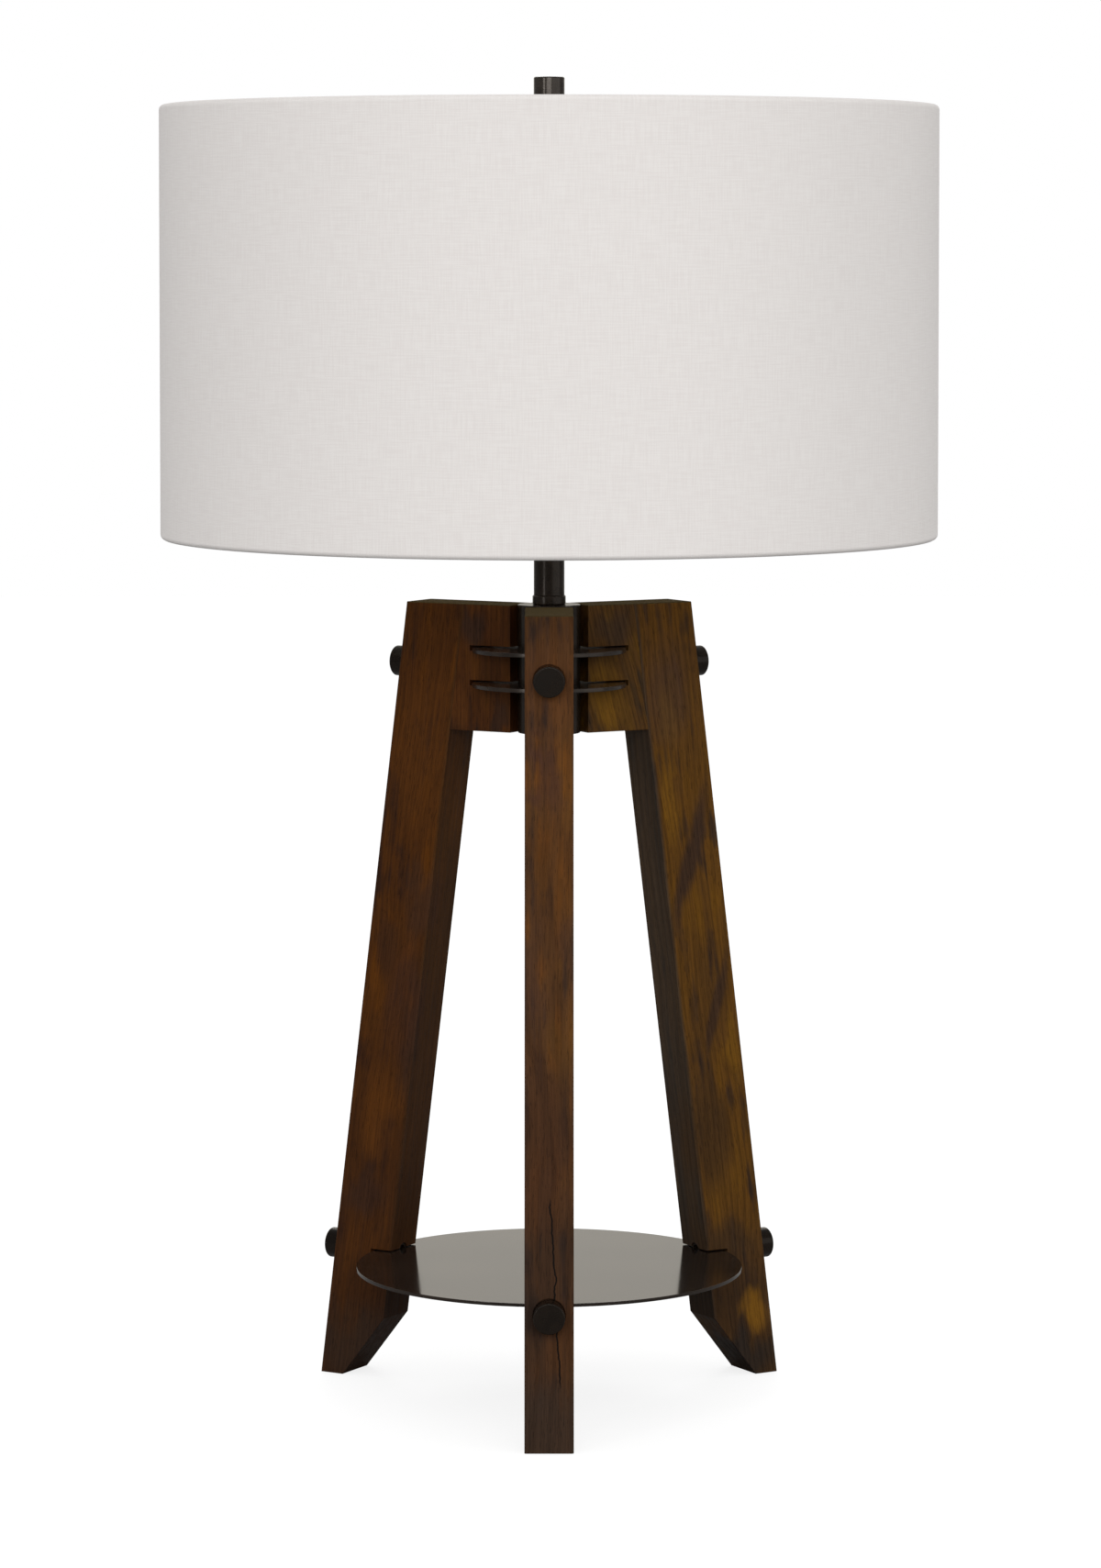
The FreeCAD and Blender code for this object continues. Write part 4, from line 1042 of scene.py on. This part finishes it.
@dataclass
class WoodenFrame:
    """The three legs and the three arm blocks glued inside their tops.

    Attributes:
        front: The front leg's box.
        width: The legs' level width across their slanted faces.
        leg_arris_mm: Width of the legs' eased edges.
        arm_arris_mm: Width of the arms' eased edges, which are glued flush to the legs.
    """

    front: Place = field(default_factory=lambda: Place.of("leg_front"))
    width: float = 40.0 * MM
    leg_arris_mm: float = 0.7
    arm_arris_mm: float = 0.1

    @property
    def slant(self) -> float:
        """How far a leg leans from upright, in radians."""
        return math.atan2(self.front.high.y - self.front.low.y - self.width, self.front.top)

    @property
    def inner(self) -> float:
        """Distance of a leg's inner face from its board's own axis."""
        return -self.front.high.y * math.cos(self.slant) + self.front.top * math.sin(self.slant)

    def woods(self) -> dict[str, StainedWalnut]:
        """Picks the wood of each board.

        Returns:
            A finish for each leg and each arm, by node.
        """
        return {
            "leg_front": StainedWalnut(
                "walnut_stained_front_leg", Heading.FRONT, self.slant, (0.31, 0.12, 0.0),
                "34241b", "4f3219", "643b16", "674115", pale_share=0.4, dark_share=0.4,
                foot=(0.25, 0.09), foot_stain_and_shade_share=0.65, crack=Crack(), blots=(
                    Blot((150, 0, 414), 11, 28, "643c1b", 0.5),
                    Blot((150, -8, 365), 3, 26, "452b22", 0.7),
                    Blot((150, 3, 364), 5, 24, "452b22", 0.55),
                    Blot((150, 2, 305), 9, 36, "5b3610", 0.45),
                    Blot((150, -12, 246), 6, 34, "472e20", 0.6),
                    Blot((150, 11, 262), 4, 24, "472e20", 0.5),
                    Blot((150, 6, 208), 5, 22, "6b4712", 0.2),
                    Blot((150, -6, 186), 8, 28, "482c18", 0.55),
                    Blot((150, -3, 138), 13, 36, "462a17", 0.65),
                    Blot((150, -9, 56), 6, 15, "281f1a", 0.7),
                    Blot((150, 7, 42), 5, 22, "5a3412", 0.35),
                    Blot((150, 0, -8), 20, 28, "362a22", 0.7),
                )),
            "leg_rear_left": StainedWalnut(
                "walnut_stained_left_leg", Heading.REAR_LEFT, self.slant, (0.72, 0.55, 0.0),
                "351f12", "4a290c", "593108", "5e3509", pale_share=0.2, dark_share=0.5,
                inside="3f2b17", inner_face_shade_share=0.6, inside_edge=self.inner, rings_share=0.07,
                foot=(0.32, -0.02), foot_stain_and_shade_share=0.6, blots=(
                    Blot((128, 14, 368), 22, 50, "5b340f", 0.4),
                    Blot((119, 14, 279), 9, 28, "3f281a", 0.75),
                    Blot((138, 14, 248), 9, 20, "3c2415", 0.6),
                    Blot((122, 14, 244), 4, 16, "5c3312", 0.4),
                    Blot((117, 14, 200), 8, 42, "36241a", 0.8),
                    Blot((124, 14, 216), 13, 34, "43281a", 0.5),
                    Blot((129, 14, 140), 13, 34, "5e350e", 0.65),
                    Blot((134, 14, 95), 16, 9, "38241a", 0.7, 0.5),
                    Blot((128, 14, 0), 32, 30, "33271f", 0.7),
                )),
            "leg_rear_right": StainedWalnut(
                "walnut_stained_right_leg", Heading.REAR_RIGHT, self.slant, (1.13, 0.87, 0.0),
                "38281c", "5c3c13", "664310", "694712", pale_share=0.12, dark_share=0.3,
                inside="3c332a", inner_face_shade_share=0.8, inside_edge=self.inner, rings_tilt=0.12,
                rings_share=0.18, foot=(0.10, 0.03), foot_stain_and_shade_share=0.7, blots=(
                    Blot((126, -14, 402), 14, 32, "4b3424", 0.75),
                    Blot((126, -14, 390), 7, 24, "694a1e", 0.35),
                    Blot((120, -14, 338), 6, 28, "7a5310", 0.45),
                    Blot((130, -14, 302), 6, 48, "3c2a1e", 0.95, 0.36),
                    Blot((119, -14, 258), 5, 16, "402c1e", 0.35),
                    Blot((136, -14, 210), 4, 36, "3c2a1e", 0.85, 0.36),
                    Blot((145, -14, 184), 4, 26, "7d5511", 0.45),
                    Blot((122, -14, 134), 18, 34, "422d17", 0.8),
                    Blot((127, -14, 66), 20, 16, "3c2b1b", 0.7),
                    Blot((139, -14, 21), 12, 11, "7f5616", 0.85),
                    Blot((124, -14, -6), 32, 15, "2c2520", 0.85),
                )),
            "arm_front": StainedWalnut(
                "walnut_stained_front_arm", Heading.FRONT, 0.0, (1.9, 0.3, 0.4),
                "2b201a", "452c18", "5c391c", "65401d"),
            "arm_rear_left": StainedWalnut(
                "walnut_stained_left_arm", Heading.REAR_LEFT, 0.02, (2.3, 0.7, 0.1),
                "2b1c14", "482810", "54300f", "5c340d", rings_share=0.12, blots=(
                    Blot((53, 14, 456), 11, 10, "33251e", 0.7),
                    Blot((34, 14, 404), 5, 18, "33251e", 0.6),
                    Blot((62, 14, 408), 8, 14, "5c3513", 0.5),
                )),
            "arm_rear_right": StainedWalnut(
                "walnut_stained_right_arm", Heading.REAR_RIGHT, 0.25, (2.9, 1.1, 0.7),
                "35281c", "513617", "614314", "6a4912", pale_share=0.3, dark_share=0.4,
                rings_share=0.2, blots=(
                    Blot((148, -14, 434), 14, 14, "3c2d22", 0.7),
                    Blot((131, -14, 396), 13, 22, "7c5514", 0.6),
                )),
        }

    def meets_arm(self, edge: bmesh.types.BMEdge) -> bool:
        """Tells whether a leg's edge lies on its inner face, which the arm is glued to.

        Args:
            edge: An edge of a leg.

        Returns:
            Whether it does.
        """
        middle = (edge.verts[0].co + edge.verts[1].co) / 2
        out = max(middle.x * math.cos(heading.angle) + middle.y * math.sin(heading.angle)
                  for heading in Heading)
        return out * math.cos(self.slant) + middle.z * math.sin(self.slant) < self.inner + MM

    def build(self) -> None:
        """Makes the six boards, each with its own wood."""
        for node, wood in self.woods().items():
            if node.startswith("arm"):
                shape = eased(node, self.arm_arris_mm)
            else:
                shape = eased(node, self.leg_arris_mm, spared=self.meets_arm)
            show(shape, f"{node}_board", wood, Body.BASE, node, smooth=False)


@dataclass
class Hardware:
    """The hub post, the two round plates and the six knob-headed bolts.

    Attributes:
        head_radius: Radius of a bolt's head.
        head_length: Length of a bolt's head.
        head_round: Rounding of its front edge.
        head_back: Rounding of its back edge.
        shank_radius: Radius of a bolt's shank.
        shank_round: Rounding of the shank's tip.
        arm_tip: Distance from the lamp's axis to the tips of the arms' bolts.
        shelf_tip: Distance from the lamp's axis to the tips of the shelf's bolts.
        rings: The hub post and the plates.
    """

    head_radius: float = 9.0 * MM
    head_length: float = 12.0 * MM
    head_round: float = 0.8 * MM
    head_back: float = 0.3 * MM
    shank_radius: float = 3.0 * MM
    shank_round: float = 0.5 * MM
    arm_tip: float = 6.6 * MM
    shelf_tip: float = 106.3 * MM
    rings: tuple[Ring, ...] = (
        Ring("hub", "hub_post", 5.1 * MM, 0.5, steps=128),
        Ring("upper_disc", "upper_plate", 18.6 * MM, 0.35, BRONZE_PLATE, steps=160),
        Ring("lower_disc", "lower_plate", 18.6 * MM, 0.35, BRONZE_PLATE, steps=160),
    )

    def bolts(self, node: str, tip: float) -> Shape:
        """Makes the three bolts of a node, the first one to the front.

        Args:
            node: The CAD node that holds the three.
            tip: Distance from the lamp's axis to a bolt's tip.

        Returns:
            The bolts.
        """
        place = Place.of(node)
        front = -place.low.y
        seat = front - self.head_length
        shape = turned([
            Corner(0.0, tip),
            Corner(self.shank_radius, tip, self.shank_round),
            Corner(self.shank_radius, seat),
            Corner(self.head_radius, seat, self.head_back),
            Corner(self.head_radius, front, self.head_round),
            Corner(0.0, front),
        ], steps=64)
        lying = Matrix.Rotation(math.pi / 2, 4, "Y")
        ahead = Matrix.Rotation(Heading.FRONT.angle, 4, "Z")
        level = Matrix.Translation((0, 0, (place.floor + place.top) / 2))
        shape.transform(level @ ahead @ lying)
        bmesh.ops.spin(shape, geom=shape.verts[:] + shape.edges[:] + shape.faces[:],
                       angle=FULL_TURN * 2 / 3, steps=2, use_duplicate=True, **AXIS)
        return shape

    def build(self) -> None:
        """Makes the hub, the plates and the bolts."""
        for ring in self.rings:
            ring.build()
        for kind, tip in (("arm", self.arm_tip), ("shelf", self.shelf_tip)):
            show(self.bolts(f"{kind}_bolts", tip), f"{kind}_bolt_set", BRONZE_HEAD, Body.BASE,
                 f"{kind}_bolts")


@dataclass
class Shelf:
    """The thin round shelf and the threaded barrels in its edge.

    Attributes:
        edge_mm: Width of the sheared edge's easing.
    """

    edge_mm: float = 0.3

    def build(self) -> None:
        """Makes the shelf with its sheared edge eased, and dresses the barrels."""
        show(eased("shelf_plate", self.edge_mm), "shelf_disc", BRONZE_SHEET, Body.BASE,
             "shelf_plate")
        dress(BRONZE, "shelf_barrels")


@dataclass
class Stem:
    """The collar, the stem tube, the ring on its top and what is on the lamp pipe.

    Attributes:
        wall: The stem tube's wall.
        pipe_hole: Radius of the plain holes round the pipe.
        nut_edge_mm: Width of the nut's eased edges.
    """

    wall: float = 1.2 * MM
    pipe_hole: float = 5.1 * MM
    nut_edge_mm: float = 0.4

    def build(self) -> None:
        """Makes the visible rings and tubes, and dresses the rest."""
        bore = Place.of("stem_tube").radius - self.wall
        for ring in (
                Ring("collar", "stem_collar", self.pipe_hole, 0.8),
                Ring("stem", "stem_tube", bore, 0.2),
                Ring("neck", "neck_ring", self.pipe_hole, 0.6),
                Ring("pipe_flat_washer", "pipe_washer", self.pipe_hole, 0.25, ZINC,
                     Slot.PLATED_STEEL)):
            ring.build()
        show(eased("pipe_nut", self.nut_edge_mm), "pipe_hexagon_nut", ZINC, Body.BASE,
             "pipe_nut")
        dress(ZINC, "lamp_pipe")
        dress(NYLON, "cord_bushing")


@dataclass
class LampHolder:
    """The socket with its rolled screw shell, and the switch in its side.

    Attributes:
        bulb_radius: Radius of the screw shell's thread at its widest.
        thread_depth: Depth of the rolled thread.
        thread_pitch: Rise of the thread in one turn.
        shell_wall: The screw shell's sheet.
        shell_shown: How much of it the piece has, clear of the core round it.
        floor_hole: Radius of the hole in its floor.
        thread_points: Points along one turn's rise.
        turn_steps: Facets round one turn.
    """

    bulb_radius: float = 13.25 * MM
    thread_depth: float = 0.9 * MM
    thread_pitch: float = 3.63 * MM
    shell_wall: float = 0.4 * MM
    shell_shown: float = 0.9
    floor_hole: float = 6.0 * MM
    thread_points: int = 8
    turn_steps: int = 48

    def screw_shell(self) -> Shape:
        """Rolls the screw shell: a thin wall with a thread, and a flat floor.

        Returns:
            The shell.
        """
        place = Place.of("screw_shell")
        shape = bmesh.new()
        middle = self.bulb_radius - self.thread_depth / 2
        start = place.floor - self.thread_pitch
        marks = []
        for step in range(self.thread_points + 1):
            share = step / self.thread_points
            out = middle + self.thread_depth / 2 * math.cos(FULL_TURN * share)
            marks.append(shape.verts.new((out, 0.0, start + share * self.thread_pitch)))
        for first, second in zip(marks, marks[1:]):
            shape.edges.new((first, second))
        turns = math.ceil((place.top - start) / self.thread_pitch) + 1
        bmesh.ops.spin(shape, geom=shape.verts[:] + shape.edges[:], angle=FULL_TURN * turns,
                       steps=turns * self.turn_steps, use_merge=False,
                       dvec=(0, 0, self.thread_pitch / self.turn_steps), **AXIS)
        bmesh.ops.remove_doubles(shape, verts=shape.verts, dist=2 * CLOSE)
        seat = place.floor + self.shell_wall
        for height, outward in ((place.top, (0, 0, 1)), (seat, (0, 0, -1))):
            bmesh.ops.bisect_plane(shape, geom=shape.verts[:] + shape.edges[:] + shape.faces[:],
                                   plane_co=(0, 0, height), plane_no=outward, clear_outer=True)
        foot = [edge for edge in shape.edges
                if edge.is_boundary and all(abs(v.co.z - seat) < CLOSE for v in edge.verts)]
        rim = bmesh.ops.extrude_edge_only(shape, edges=foot)["geom"]
        for mark in (item for item in rim if isinstance(item, bmesh.types.BMVert)):
            reach = math.hypot(mark.co.x, mark.co.y)
            mark.co.x *= self.floor_hole / reach
            mark.co.y *= self.floor_hole / reach
        bmesh.ops.recalc_face_normals(shape, faces=shape.faces)
        return shape

    def build(self) -> None:
        """Makes the screw shell and dresses the other pieces of the socket."""
        shell = show(self.screw_shell(), "rolled_screw_shell", ALUMINIUM, Body.BASE,
                     "screw_shell")
        wall = shell.modifiers.new("sheet", "SOLIDIFY")
        wall.thickness = self.shell_wall * self.shell_shown
        wall.offset = 0.0
        dress(BRASS, "socket_cap", "socket_shell")
        dress(FIBRE, "socket_insulator")
        dress(PHENOLIC, "socket_core")
        dress(BRASS_CONTACT, "centre_contact")
        dress(ZINC, "switch_shaft")
        dress(KNOB, "switch_knob")


@dataclass
class Harp:
    """The saddle, the bent wire that goes round the bulb, its ferrules and the stud.

    Attributes:
        edge_mm: Width of the easing on the saddle's strip.
    """

    edge_mm: float = 0.25

    def build(self) -> None:
        """Eases the saddle's strip and dresses the rest."""
        show(eased("harp_saddle", self.edge_mm), "harp_strip", BRONZE_WIRE, Body.BASE,
             "harp_saddle")
        dress(BRONZE_WIRE, "harp_wire", "harp_stud", "ferrule_left", "ferrule_right")


@dataclass
class Shade:
    """The drum: cloth rolled over two wire rings, a stiff liner and a spider.

    Attributes:
        cloth: The cloth's box.
        cloth_wall: Thickness of the cloth.
        glue_line: Between the shade's layers.
        liner_wall: Thickness of the liner.
        ring_wire: Thickness of the rings' wire.
        hem_depth: From a ring's middle to the hem's raw edge.
        slit_width: Width of the hem's slit round a spoke.
        slit_over: How far a slit reaches over the ring's middle.
        steps: How many facets go round.
        lap_width: How far the cloth laps over itself at the back.
        lap_rise: How far the lap's edge stands proud.
        lap_near: How far to the side of a cut a face's middle may lie to be cut.
    """

    cloth: Place = field(default_factory=lambda: Place.of("shade_cloth"))
    cloth_wall: float = 1.0 * MM
    glue_line: float = 0.3 * MM
    liner_wall: float = 0.5 * MM
    ring_wire: float = 3.2 * MM
    hem_depth: float = 7.0 * MM
    slit_width: float = 4.4 * MM
    slit_over: float = 2.2 * MM
    steps: int = 240
    lap_width: float = 11.0 * MM
    lap_rise: float = 0.4 * MM
    lap_near: float = 20.0 * MM

    @property
    def inset(self) -> float:
        """From the cloth's outer face, or a rim, to the middle of a ring's wire."""
        return self.cloth_wall + self.glue_line + self.ring_wire / 2

    @property
    def ring(self) -> float:
        """Radius of a ring's middle."""
        return self.cloth.radius - self.inset - self.liner_wall - self.glue_line

    def profile(self) -> list[Corner]:
        """Gives the cloth's profile, from the wall's foot round both rims.

        Returns:
            The corners, the rolled ones eased.
        """
        wall, wire, inset = self.cloth_wall, self.ring_wire, self.inset
        outer = self.cloth.radius
        hem_outer = self.ring - wire / 2 - self.glue_line
        hem_inner = hem_outer - wall
        edge_outer = self.ring + wire / 2
        edge_inner = edge_outer - wall
        inside = inset - wall
        corners = []
        for rim, way in ((self.cloth.top, -1.0), (self.cloth.floor, 1.0)):
            middle = rim + way * inset
            half = [
                Corner(outer, rim, inset),
                Corner(hem_inner, rim, inset),
                Corner(hem_inner, middle + way * wire / 2),
                Corner(edge_inner, middle + way * self.hem_depth),
                Corner(edge_outer, middle + way * self.hem_depth),
                Corner(hem_outer, middle + way * wire / 2),
                Corner(hem_outer, rim + way * wall, inside),
                Corner(outer - wall, rim + way * wall, inside),
            ]
            corners += half if way < 0 else half[::-1]
        return corners

    def build(self) -> None:
        """Makes the cloth and dresses the rings, the liner and the spider."""
        shape = turned(self.profile(), self.steps)
        self.lay_threads(shape)
        self.raise_lap(shape)
        cloth = show(shape, "drum_cloth", LINEN, Body.SHADE, "shade_cloth")
        self.cut_slits(cloth)
        dress(STYRENE, "shade_liner")
        dress(ENAMEL, "shade_top_ring", "shade_bottom_ring", "shade_spider")

    def raise_lap(self, shape: Shape) -> None:
        """Raises the glued lap at the back: a sharp edge, and a slope to its other side.

        Args:
            shape: The cloth's shape.
        """
        left = -self.lap_width / 2
        sharp = left + self.lap_rise
        right = self.lap_width
        for cut in (left, sharp, 0.0, right):
            middles = [(face, face.calc_center_median()) for face in shape.faces]
            back = [face for face, middle in middles
                    if middle.y > 0 and abs(middle.x - cut) < self.lap_near]
            edges = list({edge for face in back for edge in face.edges})
            marks = list({mark for face in back for mark in face.verts})
            bmesh.ops.bisect_plane(shape, geom=back + edges + marks, plane_co=(cut, 0, 0),
                                   plane_no=(1, 0, 0))
        rolled = self.cloth.radius - self.inset
        for mark in shape.verts:
            if mark.co.y < 0 or not sharp - CLOSE <= mark.co.x < right:
                continue
            out = math.hypot(mark.co.x, mark.co.y)
            level = min(max(mark.co.z, self.cloth.floor + self.inset), self.cloth.top - self.inset)
            away = Vector((out - rolled, mark.co.z - level))
            if away.x <= 0 or away.length < self.inset - self.cloth_wall / 2:
                continue
            slope = min(1.0, (right - mark.co.x) / (right - sharp))
            rise = self.lap_rise * slope * (away.x / away.length) ** 2
            mark.co.x *= 1 + rise / out
            mark.co.y *= 1 + rise / out

    def cut_slits(self, cloth: bpy.types.Object) -> None:
        """Cuts the top hem open where the three spokes come up to the ring.

        Args:
            cloth: The cloth.
        """
        ring_height = self.cloth.top - self.inset
        low = ring_height - self.hem_depth - self.inset
        high = ring_height + self.slit_over
        deep = 2 * self.hem_depth
        blocks = bmesh.new()
        for heading in Heading:
            ahead = Matrix.Rotation(heading.angle, 4, "Z")
            place = Matrix.Translation((self.ring - deep / 2, 0, (low + high) / 2))
            size = Matrix.Diagonal((deep, self.slit_width, high - low, 1.0))
            bmesh.ops.create_cube(blocks, size=1.0, matrix=ahead @ place @ size)
        cutter = made(blocks, "slits")
        cut = cloth.modifiers.new("slits", "BOOLEAN")
        cut.operation = "DIFFERENCE"
        cut.solver = "EXACT"
        cut.object = cutter
        cloth.modifiers.move(len(cloth.modifiers) - 1, 0)
        smooth = cloth.modifiers["even shading"]
        smooth.show_viewport = False
        seen = cloth.evaluated_get(bpy.context.evaluated_depsgraph_get())
        finished = bpy.data.meshes.new_from_object(seen)
        cloth.modifiers.remove(cut)
        smooth.show_viewport = True
        uncut = cloth.data
        cloth.data = finished
        finished.name = uncut.name
        for mesh in (uncut, cutter.data):
            bpy.data.meshes.remove(mesh)

    def lay_threads(self, shape: Shape) -> None:
        """Lays the cloth's own map on it, in metres along the rim and up the wall.

        Args:
            shape: The cloth's shape.
        """
        layer = shape.loops.layers.uv.new("cloth")
        middle = (self.cloth.floor + self.cloth.top) / 2
        for face in shape.faces:
            centre = face.calc_center_median()
            facing = math.atan2(centre.x, -centre.y)
            for loop in face.loops:
                place = loop.vert.co
                angle = math.atan2(place.x, -place.y)
                angle += FULL_TURN * round((facing - angle) / FULL_TURN)
                inward = self.cloth.radius - math.hypot(place.x, place.y)
                run = place.z + math.copysign(inward, place.z - middle)
                loop[layer].uv = (angle * self.cloth.radius, run)


@dataclass
class Finial:
    """The plain round knob that holds the shade down.

    Attributes:
        bore: Radius of the hole for the stud.
        hole_depth: How deep it is.
        foot_round: Rounding of its lower edge.
        top_round: Rounding of its upper edge.
    """

    bore: float = 3.325 * MM
    hole_depth: float = 13.0 * MM
    foot_round: float = 0.3 * MM
    top_round: float = 1.0 * MM

    def build(self) -> None:
        """Makes the finial."""
        place = Place.of("finial")
        depth = place.floor + self.hole_depth
        shape = turned([
            Corner(0.0, depth),
            Corner(self.bore, depth),
            Corner(self.bore, place.floor),
            Corner(place.radius, place.floor, self.foot_round),
            Corner(place.radius, place.top, self.top_round),
            Corner(0.0, place.top),
        ])
        show(shape, "finial_knob", BRONZE_KNOB, Body.FINIAL, "finial")


@dataclass(frozen=True)
class SoftBox:
    """A large soft lamp that faces the middle of the piece.

    Attributes:
        name: Its name.
        around: Its heading from the camera's side, in degrees, to the right.
        height: Its height, in metres.
        reach: Its distance from the lamp's axis, in metres.
        width: Its width, in metres.
        tall: Its height from edge to edge, in metres.
        watts: Its power.
        aim: The height on the lamp's axis that it faces, in metres.
    """

    name: str
    around: float
    height: float
    reach: float
    width: float
    tall: float
    watts: float
    aim: float = 0.5

    def hang(self) -> None:
        """Hangs the lamp in its place."""
        angle = math.radians(self.around)
        data = bpy.data.lights.new(self.name, "AREA")
        data.shape = "RECTANGLE"
        data.size = self.width
        data.size_y = self.tall
        data.energy = self.watts
        lamp = bpy.data.objects.new(self.name, data)
        lamp.location = (self.reach * math.sin(angle), -self.reach * math.cos(angle), self.height)
        aimed = Vector((0.0, 0.0, self.aim)) - lamp.location
        lamp.rotation_euler = aimed.to_track_quat("-Z", "Y").to_euler()
        bpy.context.scene.collection.objects.link(lamp)


@dataclass
class Studio:
    """The floor, the backdrop, the light and the camera.

    Attributes:
        photo_width: Width of the photograph, in pixels.
        photo_height: Height of the photograph, in pixels.
        sensor: The long side of the camera's sensor, in millimetres.
        lens_pixels: Focal length, in the photograph's pixels.
        distance: From the lamp's axis to the camera, in metres.
        height: The camera's height, in metres.
        pitch: How far the camera looks down, in degrees.
        axis_column: The pixel column of the lamp's axis.
        horizon_row: The pixel row that the camera looks at before its shift.
        sight: The nearest and the farthest that the camera sees, in metres.
        room_light: Strength of the even light from all round.
        room_mirrored: How bright the dim room shows in glossy pieces.
        floor_radius: Radius of the floor, in metres.
        floor_glow: What is added to the floor where the camera sees it.
        floor_colour: How much light the floor throws back.
        backdrop_place: Where the backdrop's middle hangs, in metres.
        backdrop_half: Half its width and half its height, in metres.
        backdrop_mirrored: How bright it shows in glossy pieces.
        backdrop_tint: Its colour there.
        boxes: The soft lamps.
    """

    photo_width: int = 1200
    photo_height: int = 1709
    sensor: float = 36.0
    lens_pixels: float = 5645.2
    distance: float = 3.0501
    height: float = 0.6821
    pitch: float = 3.0
    axis_column: float = 598.5
    horizon_row: float = 564.4
    sight: Pair = (0.1, 50.0)
    room_light: float = 0.83
    room_mirrored: float = 0.20
    floor_radius: float = 14.0
    floor_glow: float = 0.80
    floor_colour: float = 0.28
    backdrop_place: Triple = (0.0, 7.0, 3.5)
    backdrop_half: Pair = (5.0, 3.5)
    backdrop_mirrored: float = 0.85
    backdrop_tint: Colour = (1.0, 0.955, 0.86, 1.0)
    boxes: tuple[SoftBox, ...] = (
        SoftBox("strip_left", -38.0, 0.9, 2.4, 0.2, 1.5, 6.5),
        SoftBox("wide_right", 56.0, 0.9, 2.6, 3.2, 1.6, 11.3),
        SoftBox("front_top", 0.0, 1.35, 3.2, 2.0, 1.0, 27.0),
        SoftBox("back_fill", 180.0, 2.6, 3.0, 1.2, 1.0, 24.0),
    )

    def build(self) -> None:
        """Makes the floor, the backdrop, the world, the lamps and the camera."""
        self.lay_floor()
        self.hang_backdrop()
        self.light_world()
        for box in self.boxes:
            box.hang()
        self.place_camera()
        bpy.context.scene.view_settings.view_transform = "Standard"

    def viewed(self, tree: Tree) -> Socket:
        """Gives 1 for a ray that the camera sees, also through glass, or else 0."""
        rays = add(tree, "LightPath")
        return add(tree, "Math", (rays["Is Camera Ray"], rays["Is Transmission Ray"]),
                   operation="ADD", use_clamp=True)[0]

    def strength(self, tree: Tree, glossy: Socket, mirrored: float) -> Socket:
        """Makes a surround white for the camera, plain for the lamp, and its own in gloss."""
        dim = add(tree, "MapRange", (glossy, 0.0, 1.0, self.room_light, mirrored), **SMOOTH)[0]
        return add(tree, "Math", (dim, self.viewed(tree)), operation="MAXIMUM")[0]

    def lay_floor(self) -> None:
        """Lays a wide pale floor that keeps the lamp's shadow."""
        material = bpy.data.materials.new("floor_white_paint")
        tree = emptied(material)
        tone = (self.floor_colour, self.floor_colour, self.floor_colour, 1.0)
        matt = add(tree, "BsdfDiffuse", {"Color": tone})[0]
        glow = add(tree, "Emission", {"Strength": self.floor_glow})[0]
        both = add(tree, "AddShader", (matt, glow))[0]
        surface = add(tree, "MixShader", (self.viewed(tree), matt, both))[0]
        add(tree, "OutputMaterial", {"Surface": surface})
        shape = bmesh.new()
        bmesh.ops.create_circle(shape, cap_ends=True, segments=64, radius=self.floor_radius)
        made(shape, "floor", material)

    def hang_backdrop(self) -> None:
        """Hangs a wide white backdrop far behind the lamp."""
        material = bpy.data.materials.new("backdrop_white_paper")
        tree = emptied(material)
        glossy = add(tree, "LightPath")["Is Glossy Ray"]
        tint = add(tree, "Mix", {0: glossy, 6: WHITE, 7: self.backdrop_tint}, **COLOUR)[2]
        strength = self.strength(tree, glossy, self.backdrop_mirrored)
        glow = add(tree, "Emission", {"Color": tint, "Strength": strength})[0]
        add(tree, "OutputMaterial", {"Surface": glow})
        shape = bmesh.new()
        bmesh.ops.create_grid(shape, x_segments=1, y_segments=1, size=1.0)
        upright = Matrix.Rotation(math.pi / 2, 4, "X")
        size = Matrix.Diagonal((*self.backdrop_half, 1.0, 1.0))
        shape.transform(Matrix.Translation(self.backdrop_place) @ upright @ size)
        made(shape, "backdrop", material)

    def light_world(self) -> None:
        """Makes a white surround for the camera, and a plain soft light for the rest."""
        world = bpy.data.worlds.new("studio")
        bpy.context.scene.world = world
        tree = emptied(world)
        glossy = add(tree, "LightPath")["Is Glossy Ray"]
        strength = self.strength(tree, glossy, self.room_mirrored)
        light = add(tree, "Background", {"Color": WHITE, "Strength": strength})[0]
        add(tree, "OutputWorld", {"Surface": light})

    def place_camera(self) -> None:
        """Puts the camera where the photograph was taken from."""
        data = bpy.data.cameras.new("camera")
        data.sensor_width = self.sensor
        data.lens = self.lens_pixels * self.sensor / self.photo_height
        data.shift_x = (self.photo_width / 2 - self.axis_column) / self.photo_height
        data.shift_y = (self.horizon_row - self.photo_height / 2) / self.photo_height
        data.clip_start, data.clip_end = self.sight
        camera = bpy.data.objects.new("camera", data)
        camera.location = (0.0, -self.distance, self.height)
        camera.rotation_euler = (math.radians(90.0 - self.pitch), 0.0, 0.0)
        bpy.context.scene.collection.objects.link(camera)
        bpy.context.scene.camera = camera


def main() -> None:
    """Builds the studio and the lamp."""
    logging.basicConfig(level=logging.INFO, format="%(message)s")
    for part in (Studio(), WoodenFrame(), Hardware(), Shelf(), Stem(), LampHolder(), Harp(),
                 Shade(), Finial()):
        part.build()
        LOG.info("%s is built", type(part).__name__)
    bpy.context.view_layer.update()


if __name__ == "__main__":
    main()
